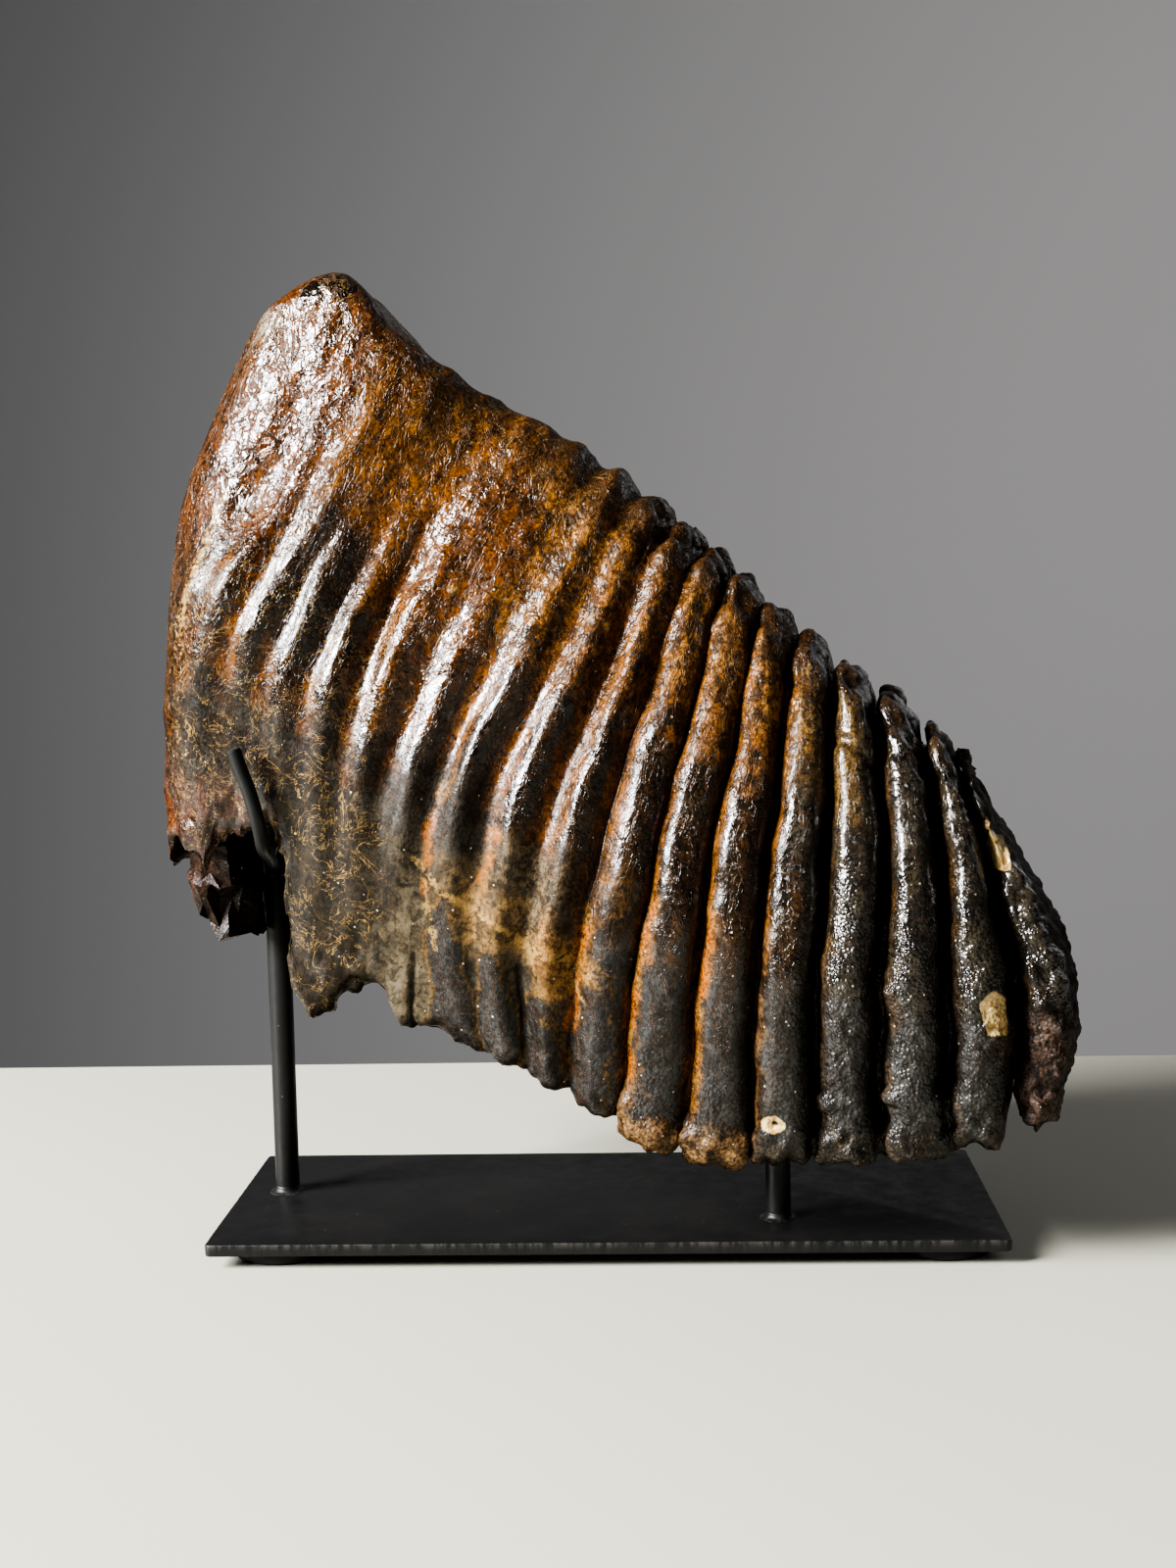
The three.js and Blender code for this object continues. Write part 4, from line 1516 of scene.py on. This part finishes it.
    def tones(self, points: Array, fields: SkinField, finish: FossilEnamel) -> tuple[Array, Array, Array]:
        """Works out the two tones and the dullness of every vertex.

        Args:
            points: Vertices with their relief.
            fields: Numbers of each vertex.
            finish: The enamel, with its zones.

        Returns:
            The main and the second tone, linear, one row per vertex, and the dullness.
        """
        noise = LatticeNoise(self.seed + 1)
        plate = fields.plate + 0.45 * noise.fractal(points, 20.0, 3)
        rise = fields.rise + 0.05 * noise.fractal(points + 33, 11.0, 4)
        ridge = fields.ridge + 0.2 * noise.fractal(points + 66, 7.0, 3)
        side = fields.plate - np.floor(fields.plate) - 0.5
        layers = [np.tile(tone.linear()[:3], (len(plate), 1)) for tone in (finish.main, finish.second)]
        layers.append(np.full((len(plate), 1), finish.dullness))

        def lay(share: Array, main: Tone, second: Tone, dullness: float) -> None:
            """Blends a new pair of tones and a new dullness over the old ones."""
            for layer, aim in zip(layers, (main.linear()[:3], second.linear()[:3], dullness)):
                layer += share[:, None] * (np.array(aim) - layer)

        for zone in finish.zones:
            share = band(*zone.plates, zone.soft, plate) * band(*zone.rises, zone.soft * 0.13, rise)
            # A flank zone is laid on one side of each ridge only: painted light on the front flanks,
            # painted shade on the rear ones.
            if zone.flank is not Flank.BOTH:
                share = share * ramp(-0.06, 0.06, side * zone.flank.value)
            lay(zone.share * share * band(*zone.ridges, 0.2, ridge), zone.main, zone.second, zone.dull)
        tongue = self.tongue_share(fields)
        lay(band(0.3, 0.5, 0.2, tongue) * 0.6, finish.tongue_edge, finish.gold, 0.6)
        lay(ramp(0.4, 0.8, tongue) * 0.92, finish.tongue, finish.tongue_pale, 0.35)
        ragged = 1.6 * noise.fractal(points + 15, 5.0, 3)
        rust = self._reach(self.rust_veins, fields)
        lay(ramp(1.9, 0.6, rust + ragged) * 0.8, finish.rust_line, finish.tongue_edge, 0.3)
        split = self._reach(self.cracks, fields)
        lay(ramp(1.0, 0.4, split + 0.3 * ragged), finish.shadow, finish.shadow, 0.6)
        worn = (fields.region == Region.CREST.value) * ramp(8.5, 7, fields.plate)
        loops = band(0.42, 0.6, 0.08, fields.across + 0.12 * noise.smooth(points, 6.0))
        lay(worn * loops * 0.8, finish.loop, finish.pale_line, 0.6)
        under = (fields.region == Region.UNDERSIDE.value) * 0.85
        lay(under, finish.second, finish.shadow, 0.8)
        return layers[0], layers[1], layers[2][:, 0]

    def marks(self, points: Array, fields: SkinField) -> dict[Mark, Array]:
        """Works out the numbers that the enamel finish reads.

        Args:
            points: Vertices with their relief.
            fields: Numbers of each vertex.

        Returns:
            One array per mark.
        """
        noise = LatticeNoise(self.seed + 1)
        plate = fields.plate + 0.6 * noise.fractal(points, 22.0, 3)
        rise = fields.rise + 0.04 * noise.fractal(points + 33, 14.0, 3)
        under = fields.region == Region.UNDERSIDE.value
        tongue = self.tongue_share(fields)
        cement = self.cement_share(fields, LatticeNoise(self.seed), points) * (1 - tongue)
        low_end = ramp(0.24, 0.12, rise) * ramp(10.3, 11.2, plate)
        matte = np.maximum(low_end, cement)
        rear = ramp(13.2, 14.4, plate)
        leathery = ramp(0.56, 0.74, rise)
        return {
            Mark.FELT: np.where(under, 0.0, cement * (0.3 + 0.7 * ramp(4.6, 6.0, plate))),
            Mark.GRANULAR: np.maximum(rear * (0.05 + 0.95 * ramp(0.7, 0.45, rise)), 0.6 * low_end),
            Mark.CREST: np.maximum(ramp(26, 6, fields.below_crest) * (1 - ramp(8, 11, plate)),
                                   band(-2, 5.5, 0.9, plate) * band(-0.1, 0.6, 0.08, rise)),
            Mark.CHIP: self._reach(self.chips, fields),
            Mark.VEIN: self._reach(self.veins, fields),
            Mark.CRACKLE: (1 - 0.6 * matte) * (1 - 0.65 * rear) * (0.4 + 0.6 * leathery),
        }


@dataclass(frozen=True)
class BrokenLobe:
    """Crumpled, sharp-edged mass of the broken root wall inside the first plates."""

    left: float = -107.5
    right: float = -91.0
    front: float = -17.0
    back: float = 13.0
    top: float = 106.0
    foot: Pairs = ((-108, 84), (-100, 77), (-99, 73.5), (-93, 74.5), (-89, 70.6))
    counts: tuple[int, int, int] = (7, 10, 11)
    crumple: float = 3.6
    dark: Tone = Tone(28, 20, 15)
    rosy: Tone = Tone(106, 73, 61)
    seed: int = 12
    tone_seed: int = 5

    def _spot(self, share: Array) -> Array:
        """Place of one lattice share inside the block, with its upright edges rounded.

        Args:
            share: Shares along the three sides.

        Returns:
            The place.
        """
        x = self.left + (self.right - self.left) * share[0]
        bulge = 0.45 + 0.55 * (1 - abs(2 * share[0] - 1) ** 3)
        middle, reach = (self.front + self.back) / 2, (self.back - self.front) / 2
        low = float(follow(self.foot, np.array(x)))
        return np.array([x, middle + reach * bulge * (2 * share[1] - 1), low + (self.top - low) * share[2]])

    def build(self, base_top: Place) -> tuple[Array, Array]:
        """Crumples the skin of a block whose foot follows the broken edge.

        Args:
            base_top: Middle of the base plate's top face.

        Returns:
            The vertices and the triangles.
        """
        draw = np.random.default_rng(self.seed)
        counts = np.array(self.counts)
        numbers: dict[tuple[int, ...], int] = {}
        triangles = []
        for axis, end in product(range(3), (0, 1)):
            one, two = (axis + 1) % 3, (axis + 2) % 3
            for i, j in product(range(counts[one]), range(counts[two])):
                corners = []
                for di, dj in ((0, 0), (1, 0), (1, 1), (0, 1)):
                    key = [0, 0, 0]
                    key[axis], key[one], key[two] = int(end * counts[axis]), i + di, j + dj
                    corners.append(numbers.setdefault(tuple(key), len(numbers)))
                if end == 0:
                    corners.reverse()
                turn = int(draw.integers(2))
                a, b, c, d = corners[turn:] + corners[:turn]
                triangles += [(a, b, c), (a, c, d)]
        points = np.array([self._spot(np.array(key) / counts) for key in numbers])
        noise = LatticeNoise(self.seed)
        push = np.stack([noise.smooth(points + 40 * i, 6.5) + 0.6 * noise.smooth(points + 70 * i, 3.1)
                         for i in (1, 2, 3)], axis=1)
        push *= np.array([0.45, 1.0, 0.6]) * self.crumple
        return points + push + np.array(base_top), np.array(triangles)


@dataclass
class Tooth:
    """The fossil tooth: one skin with its relief and its enamel finish."""

    skin: ToothSkin
    relief: ToothRelief
    lobe: BrokenLobe
    finish: FossilEnamel
    yaw: float = -8.0
    offset_y: float = -6.3

    def _placed(self, points: Array, base_top: Place) -> Array:
        """Turns the tooth's own frame into the model's.

        Args:
            points: Vertices, one row each.
            base_top: Middle of the base plate's top face.

        Returns:
            The turned and shifted vertices.
        """
        turn = math.radians(self.yaw)
        x = points[:, 0] * math.cos(turn) - points[:, 1] * math.sin(turn) + base_top[0]
        y = points[:, 0] * math.sin(turn) + points[:, 1] * math.cos(turn) + base_top[1] + self.offset_y
        return np.stack([x, y, points[:, 2] + base_top[2]], axis=1)

    def build(self, base_top: Place, rods: list[tuple[Array, float]]) -> Piece:
        """Builds the skin.

        Args:
            base_top: Middle of the base plate's top face.
            rods: Middle line and radius of each rod that the tooth keeps clear of.

        Returns:
            The tooth's object.
        """
        points, triangles, fields, unrolled = self.skin.build()
        points = self.relief.displace(points, triangles, fields)
        marks = self.relief.marks(points, fields)
        *pair, marks[Mark.DULL] = self.relief.tones(points, fields, self.finish)
        points = self._placed(points, base_top)
        for line, radius in rods:
            points = self._kept_clear(points, line, radius)
        piece = new_piece("tooth_skin", points, triangles)
        for mark, values in marks.items():
            give_numbers(piece, mark.value, values)
        for name, tones in zip(("tone_main", "tone_second"), pair):
            give_numbers(piece, name, tones)
        give_numbers(piece, "rib_place", self.relief.rib_rows(fields) * MM)
        layer = piece.data.uv_layers.new(name="OFBake")
        layer.uv.foreach_set("vector", unrolled.reshape(-1).astype(np.float32))
        return piece

    def build_lobe(self, base_top: Place, rods: list[tuple[Array, float]]) -> Piece:
        """Builds the broken mass inside the front root, clear of the rods.

        Args:
            base_top: Middle of the base plate's top face.
            rods: Middle line and radius of each rod.

        Returns:
            The mass's object.
        """
        points, triangles = self.lobe.build(base_top)
        for line, radius in rods:
            points = self._kept_clear(points, line, radius)
        piece = new_piece("tooth_broken_root", points, triangles)
        piece.data.polygons.foreach_set("use_smooth", [False] * len(triangles))
        share = ramp(0.1, 0.5, LatticeNoise(self.lobe.tone_seed).smooth(points, 9.0))[:, None]
        dark, rosy = (np.array(tone.linear()[:3]) for tone in (self.lobe.dark, self.lobe.rosy))
        give_numbers(piece, "tone_main", dark + share * (rosy - dark))
        give_numbers(piece, "tone_second", np.tile(dark, (len(points), 1)))
        give_numbers(piece, "rib_place", points * MM)
        levels = {Mark.CHIP: FAR, Mark.VEIN: FAR, Mark.CRACKLE: 0.4, Mark.GRANULAR: 0.2, Mark.DULL: 0.5}
        for mark in Mark:
            give_numbers(piece, mark.value, np.full(len(points), levels.get(mark, 0.0)))
        return piece

    def _kept_clear(self, points: Array, line: Array, radius: float, gap: float = 0.3) -> Array:
        """Moves vertices out of a rod's way.

        Args:
            points: Vertices, one row each.
            line: The rod's middle line.
            radius: Its radius.
            gap: Room that is left.

        Returns:
            The moved vertices.
        """
        lows, highs = line.min(axis=0) - 4, line.max(axis=0) + 4
        near = np.flatnonzero(((points > lows) & (points < highs)).all(axis=1))
        if not len(near):
            return points
        away = points[near][:, None] - line[None]
        distance = np.linalg.norm(away, axis=2)
        best = distance.argmin(axis=1)
        rows = np.arange(len(near))
        nearest = distance[rows, best]
        push = np.clip(radius + gap - nearest, 0, None)
        moved = points.copy()
        moved[near] += away[rows, best] / np.maximum(nearest, 1e-6)[:, None] * push[:, None]
        return moved

    def dress(self, *pieces: Piece) -> None:
        """Gives the skin and its broken mass their finish and their place in the frame.

        Args:
            pieces: The skin and the mass.
        """
        enamel = self.finish.material()
        for piece in pieces:
            piece.data.materials.append(enamel)
            place_piece(piece, "fossil_enamel", "tooth")


# ---- stand ----


@dataclass
class BasePlate:
    """Flat steel bar with filed edges."""

    corner_radius: float = 1.6
    edge_break: float = 0.35
    corner_steps: int = 6
    side_step: float = 0.9
    seed: int = 3

    def build(self) -> Piece:
        """Builds the plate inside the CAD plate's box.

        Returns:
            The plate's object.
        """
        low, high, _ = node_box("base_plate")
        outline, outward = self._outline(low, high)
        noise = LatticeNoise(self.seed)
        rings = []
        inset = self.edge_break
        turns = np.linspace(0, np.pi / 2, 4)
        for turn in turns:
            rings.append((inset * (1 - math.sin(turn)), low[2] + inset * (1 - math.cos(turn))))
        middle = np.linspace(low[2] + inset, high[2] - inset, 5)[1:-1]
        rings += [(0.0, z) for z in middle]
        for turn in turns[::-1]:
            rings.append((inset * (1 - math.sin(turn)), high[2] - inset * (1 - math.cos(turn))))
        points = []
        for pull, z in rings:
            ring = outline - outward * pull
            ring = np.column_stack([ring, np.full(len(ring), z)])
            filed = 0.12 * noise.smooth(ring, np.array([2.2, 4, 1.2])) + 0.06 * noise.smooth(ring, 0.9)
            ring[:, :2] -= outward * np.abs(filed)[:, None]
            points.append(ring)
        count = len(outline)
        piece = new_piece("base_plate_steel", np.concatenate(points), ring_faces(len(rings), count))
        heights = np.concatenate([ring[:, 2] for ring in points])
        edge = ramp(low[2] + 1.2, high[2] - 0.1, heights) * 0.9
        top = np.concatenate([np.full(count, pull > inset * 0.9 and z > middle[1]) for pull, z in rings])
        give_numbers(piece, "bare", np.where(top, 0.0, edge + 0.1))
        piece.data.set_sharp_from_angle(angle=SHARP_EDGE)
        return piece

    def _outline(self, low: Array, high: Array) -> tuple[Array, Array]:
        """Rounded rectangle seen from above, with the outward direction at each point.

        Args:
            low: Low corner of the plate's box.
            high: Its high corner.

        Returns:
            The points and the directions.
        """
        radius = self.corner_radius
        middle = (low[:2] + high[:2]) / 2
        reach = (high[:2] - low[:2]) / 2 - radius
        points, outward = [], []
        for quarter, (sx, sy) in enumerate(((1, 1), (-1, 1), (-1, -1), (1, -1))):
            corner = middle + reach * (sx, sy)
            angles = np.linspace(quarter, quarter + 1, self.corner_steps + 1) * np.pi / 2
            arc = np.column_stack([np.cos(angles), np.sin(angles)])
            points.append(corner + radius * arc)
            outward.append(arc)
            run = 2 * reach[0] if quarter in (0, 2) else 2 * reach[1]
            way = np.array([-math.sin((quarter + 1) * np.pi / 2), math.cos((quarter + 1) * np.pi / 2)])
            count = int(run / self.side_step)
            shares = np.arange(1, count)[:, None] / count
            points.append(points[-1][-1] + way * run * shares)
            outward.append(np.repeat(arc[-1:], count - 1, axis=0))
        return np.concatenate(points), np.concatenate(outward)


@dataclass
class Rods:
    """Two posts, the fork's two prongs and their welds."""

    post_radius: float = 3.2
    prong_radius: float = 1.8
    sides: int = 40
    top_edge: float = 0.35
    scuffed: float = 0.04
    weld_size: float = 1.5
    front_prong: tuple[Place, ...] = (
        (-88.2, 4, 86.3), (-88.1, 3.7, 88.4), (-87.6, -0.5, 90.4), (-86.6, -7, 92.2), (-84.9, -18, 95.3),
        (-83.4, -30, 98.6), (-82.9, -37, 105), (-84.5, -38.5, 113), (-86.4, -38.8, 118.6),
        (-87.9, -39, 123.6),
    )
    back_prong: tuple[Place, ...] = (
        (-87.2, 7.8, 86.3), (-87.2, 8.1, 88.4), (-87.3, 12, 90), (-87.4, 19, 91.2), (-88, 30, 93.4),
        (-88.6, 39, 95.2), (-88.5, 46, 99.4), (-87.6, 49, 106.5), (-86.4, 49.6, 114), (-84.5, 49.4, 122),
    )

    def prong_line(self, spots: tuple[Place, ...], base_top: Place) -> Array:
        """Draws a smooth line through a prong's spots.

        Args:
            spots: Places measured from the middle of the base plate's top face.
            base_top: That middle.

        Returns:
            Places along the prong, evenly close.
        """
        knots = np.array(spots, dtype=float) + np.array(base_top)
        gaps = np.sqrt(np.linalg.norm(np.diff(knots, axis=0), axis=1))
        times = np.concatenate([[0], np.cumsum(gaps)])
        place = np.linspace(0, times[-1], 90)
        return np.stack([through_knots(times, knots[:, axis], place) for axis in range(3)], axis=1)

    def post_line(self, node: str) -> Array:
        """Places along the middle of a post, from the CAD post's box."""
        low, high, middle = node_box(node)
        return np.linspace((middle[0], middle[1], low[2]), (middle[0], middle[1], high[2]), 40)

    def build_post(self, node: str, name: str) -> Piece:
        """Builds a round post with a slightly broken top edge.

        Args:
            node: Name of the CAD post.
            name: Name of the piece.

        Returns:
            The post's object.
        """
        low, high, middle = node_box(node)
        height = high[2] - low[2]
        radius, edge = self.post_radius, self.top_edge
        profile = [(radius, 0.0)] + [(radius, height * share) for share in (0.25, 0.5, 0.75)]
        profile += [(radius, height - edge), (radius - edge * 0.3, height - edge * 0.3)]
        profile.append((radius - edge, height))
        points, faces = turned_body(profile, self.sides)
        piece = new_piece(name, points + np.array([middle[0], middle[1], low[2]]), faces)
        give_numbers(piece, "bare", np.full(len(points), self.scuffed))
        piece.data.set_sharp_from_angle(angle=SHARP_EDGE)
        return piece

    def build_prong(self, name: str, line: Array) -> Piece:
        """Builds a bent prong with a sawn, bright tip.

        Args:
            name: Name of the piece.
            line: Its middle line.

        Returns:
            The prong's object.
        """
        points, faces = swept_rod(line, self.prong_radius, self.sides)
        piece = new_piece(name, points, faces)
        bare = np.full(len(points), self.scuffed)
        bare[-self.sides:] = 1.0
        give_numbers(piece, "bare", bare)
        piece.data.set_sharp_from_angle(angle=SHARP_EDGE)
        return piece

    def build_weld(self, name: str, centre: Place, radius: float, seed: int) -> Piece:
        """Builds a lumpy fillet round the foot of a post.

        Args:
            name: Name of the piece.
            centre: Middle of the post's foot.
            radius: Radius of the post.
            seed: Makes one weld differ from another.

        Returns:
            The fillet's object.
        """
        size = self.weld_size
        turns = np.linspace(0, np.pi / 2, 8)
        profile = [(radius + size * (1 - math.sin(t)) + 0.02, size * (1 - math.cos(t))) for t in turns]
        profile = [(radius - 0.6, 0.0), (radius + size + 0.02, 0.0), *profile[1:], (radius - 0.6, size)]
        points, faces = turned_body(profile, 64)
        noise = LatticeNoise(seed)
        swell = 1 + 0.35 * noise.smooth(points + 40, 2.6)
        out = np.hypot(points[:, 0], points[:, 1])
        extra = np.clip(out - radius, 0, None) * (swell - 1)
        points[:, :2] *= ((out + extra) / out)[:, None]
        points[:, 2] *= 1 + 0.3 * noise.smooth(points + 70, 3.0)
        piece = new_piece(name, points + np.array(centre), faces)
        give_numbers(piece, "bare", np.clip(0.4 + 0.5 * noise.smooth(points + 9, 2.0), 0, 1))
        return piece


@dataclass
class Feet:
    """Four round stick-on feet."""

    radius: float = 12.3
    edge: float = 0.8
    sides: int = 64
    nodes: tuple[str, ...] = ("foot_front_left", "foot_front_right", "foot_back_left", "foot_back_right")

    def build(self) -> list[Piece]:
        """Builds the feet in the CAD feet's boxes.

        Returns:
            One object per foot.
        """
        pieces = []
        for node in self.nodes:
            low, high, middle = node_box(node)
            height = high[2] - low[2]
            turns = np.linspace(0, np.pi / 2, 6)
            radius, edge = self.radius, self.edge
            profile = [(radius * 0.6, 0.12), (radius * 0.62, 0.0)]
            profile += [(radius - edge * (1 - math.sin(t)), edge * (1 - math.cos(t))) for t in turns]
            profile += [(radius, height - 0.3), (radius - 0.2, height - 0.05), (radius - 0.6, height)]
            points, faces = turned_body(profile, self.sides)
            points = points + np.array([middle[0], middle[1], low[2]])
            pieces.append(new_piece(f"{node}_rubber", points, faces))
        return pieces


@dataclass
class SteelStand:
    """Base plate, rods, welds and feet."""

    plate: BasePlate
    rods: Rods
    feet: Feet
    steel: BlackSteel
    rubber: FootRubber

    def base_top(self) -> Place:
        """Middle of the base plate's top face, in millimetres."""
        low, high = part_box("base_plate")
        return ((low[0] + high[0]) / 2 / MM, (low[1] + high[1]) / 2 / MM, high[2] / MM)

    def lines(self) -> list[tuple[Array, float]]:
        """Middle line and radius of every rod.

        Returns:
            One pair per rod.
        """
        top = self.base_top()
        return [
            (self.rods.post_line("left_post"), self.rods.post_radius),
            (self.rods.post_line("right_post"), self.rods.post_radius),
            (self.rods.prong_line(self.rods.front_prong, top), self.rods.prong_radius),
            (self.rods.prong_line(self.rods.back_prong, top), self.rods.prong_radius),
        ]

    def build(self) -> None:
        """Builds and dresses every piece of the stand."""
        steel, rubber = self.steel.material(), self.rubber.material()
        top, rods = self.base_top(), self.rods
        pieces = [
            (self.plate.build(), "base_plate"),
            (rods.build_post("left_post", "left_post_steel"), "left_post"),
            (rods.build_post("right_post", "right_post_steel"), "right_post"),
            (rods.build_prong("front_prong_steel", rods.prong_line(rods.front_prong, top)), "front_prong"),
            (rods.build_prong("back_prong_steel", rods.prong_line(rods.back_prong, top)), "back_prong"),
        ]
        for piece, node in pieces:
            piece.data.materials.append(steel)
            place_piece(piece, "black_steel", node)
        for seed, node in enumerate(("left_post", "right_post"), start=11):
            line = rods.post_line(node)
            weld = rods.build_weld(f"{node}_weld", tuple(line[0]), rods.post_radius, seed)
            weld.data.materials.append(steel)
            place_piece(weld, "black_steel")
        for piece, node in zip(self.feet.build(), self.feet.nodes):
            piece.data.materials.append(rubber)
            place_piece(piece, "foot_rubber", node)


# ---- studio ----


@dataclass(frozen=True)
class SoftLight:
    """Soft rectangular light. Lengths are metres."""

    name: str
    place: Place
    aim: Place
    size: Point
    power: float
    tint: Place = (1.0, 1.0, 1.0)

    def build(self) -> None:
        """Hangs the light and turns it to its aim."""
        data = bpy.data.lights.new(self.name, "AREA")
        data.shape = "RECTANGLE"
        data.size, data.size_y = self.size
        data.energy = self.power
        data.color = self.tint
        lamp = bpy.data.objects.new(self.name, data)
        lamp.location = self.place
        lamp.rotation_euler = (Vector(self.aim) - Vector(self.place)).to_track_quat("-Z", "Y").to_euler()
        bpy.context.scene.collection.objects.link(lamp)


@dataclass
class Studio:
    """Floor, backdrop, soft lights and the camera. Lengths here are metres."""

    camera_place: Place = (0.0176, -0.5115, 0.1645)
    camera_pitch: float = -5.327
    camera_roll: float = 1.252
    camera_yaw: float = 2.634
    lens: float = 45.33
    floor_back: float = 0.182
    floor_tone: Tone = Tone(172, 169, 155)
    wall_tone: Tone = Tone(118, 116, 115)
    wall_shade: Tone = Tone(36, 36, 37)
    lights: tuple[SoftLight, ...] = (
        SoftLight("window_light", (-1.25, -0.66, 0.86), (0, 0, 0.12), (0.66, 0.62), 150, (0.98, 0.99, 1.0)),
        SoftLight("back_fill", (1.0, 0.8, 0.75), (0, 0, 0.1), (1.0, 0.8), 3),
    )
    air_tint: Place = (0.9, 0.93, 1.0)
    air_strength: float = 0.13
    look: str = "AgX - High Contrast"

    def build(self) -> None:
        """Builds the stage, the lights and the camera."""
        self._stage()
        self._lights()
        self._camera()

    def _stage(self) -> None:
        """A pale table top with an edge at the back, and a grey wall behind it."""
        floor_paint = StudioPaint("pale_floor", self.floor_tone, 0.4).material()
        table = self._slab("floor", (-1.6, -1.2, -0.03), (1.6, self.floor_back, 0.0), floor_paint)
        wall = self._slab("backdrop", (-4.0, 1.3, -1.6), (4.0, 1.35, 3.0), self._wall_paint())

    def _wall_paint(self) -> Material:
        """Grey wall paint that falls off into shade towards the left.

        Returns:
            The paint.
        """
        board = NodeBoard("grey_wall")
        split = board.add("SeparateXYZ", {0: board.coords})
        slant = board.math("MULTIPLY_ADD", split.outputs[2], -0.3, board.times(split.outputs[0], 0.8))
        shade = board.step(slant, -0.88, 0.72)
        return board.finish(board.blend(shade, self.wall_shade, self.wall_tone), 0.9)

    def _slab(self, name: str, low: Place, high: Place, paint: Material) -> Piece:
        """A flat block between two corners, in metres.

        Args:
            name: Name of the piece.
            low: Low corner.
            high: High corner.
            paint: Its material.

        Returns:
            The slab's object.
        """
        corners = np.array(list(product(*zip(low, high)))) / MM
        faces = [(0, 1, 3, 2), (4, 6, 7, 5), (0, 4, 5, 1), (2, 3, 7, 6), (0, 2, 6, 4), (1, 5, 7, 3)]
        piece = new_piece(name, corners, faces)
        piece.data.polygons.foreach_set("use_smooth", [False] * 6)
        piece.data.materials.append(paint)
        return piece

    def _lights(self) -> None:
        """A soft window light from the left front, with weak fill from behind and from the world."""
        for light in self.lights:
            light.build()
        world = bpy.data.worlds.new("studio_air")
        world.use_nodes = True
        background = world.node_tree.nodes["Background"]
        background.inputs["Color"].default_value = (*self.air_tint, 1.0)
        background.inputs["Strength"].default_value = self.air_strength
        bpy.context.scene.world = world
        bpy.context.scene.view_settings.look = self.look

    def _camera(self) -> None:
        """The camera looks along +Y, turned by its pitch, roll and yaw."""
        data = bpy.data.cameras.new("camera")
        data.lens = self.lens
        data.sensor_width = 36.0
        data.clip_start = 0.01
        data.clip_end = 50.0
        camera = bpy.data.objects.new("camera", data)
        yaw = Matrix.Rotation(math.radians(self.camera_yaw), 4, "Z")
        pitch = Matrix.Rotation(math.radians(self.camera_pitch), 4, "X")
        roll = Matrix.Rotation(math.radians(self.camera_roll), 4, "Y")
        upright = Matrix.Rotation(math.radians(90), 4, "X")
        camera.matrix_world = Matrix.Translation(self.camera_place) @ yaw @ pitch @ roll @ upright
        bpy.context.scene.collection.objects.link(camera)
        bpy.context.scene.camera = camera


def write_sizes() -> None:
    """Updates the view layer."""
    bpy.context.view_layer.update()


def main() -> None:
    """Builds the tooth, the stand and the studio, in that order."""
    logging.basicConfig(level=logging.INFO, format="%(name)s: %(message)s")
    stand = SteelStand(BasePlate(), Rods(), Feet(), BlackSteel(), FootRubber())
    tooth = Tooth(ToothSkin(ToothForm()), ToothRelief(), BrokenLobe(), FossilEnamel())
    skin = tooth.build(stand.base_top(), stand.lines())
    tooth.dress(skin, tooth.build_lobe(stand.base_top(), stand.lines()))
    stand.build()
    Studio().build()
    write_sizes()


if __name__ == "__main__":
    main()
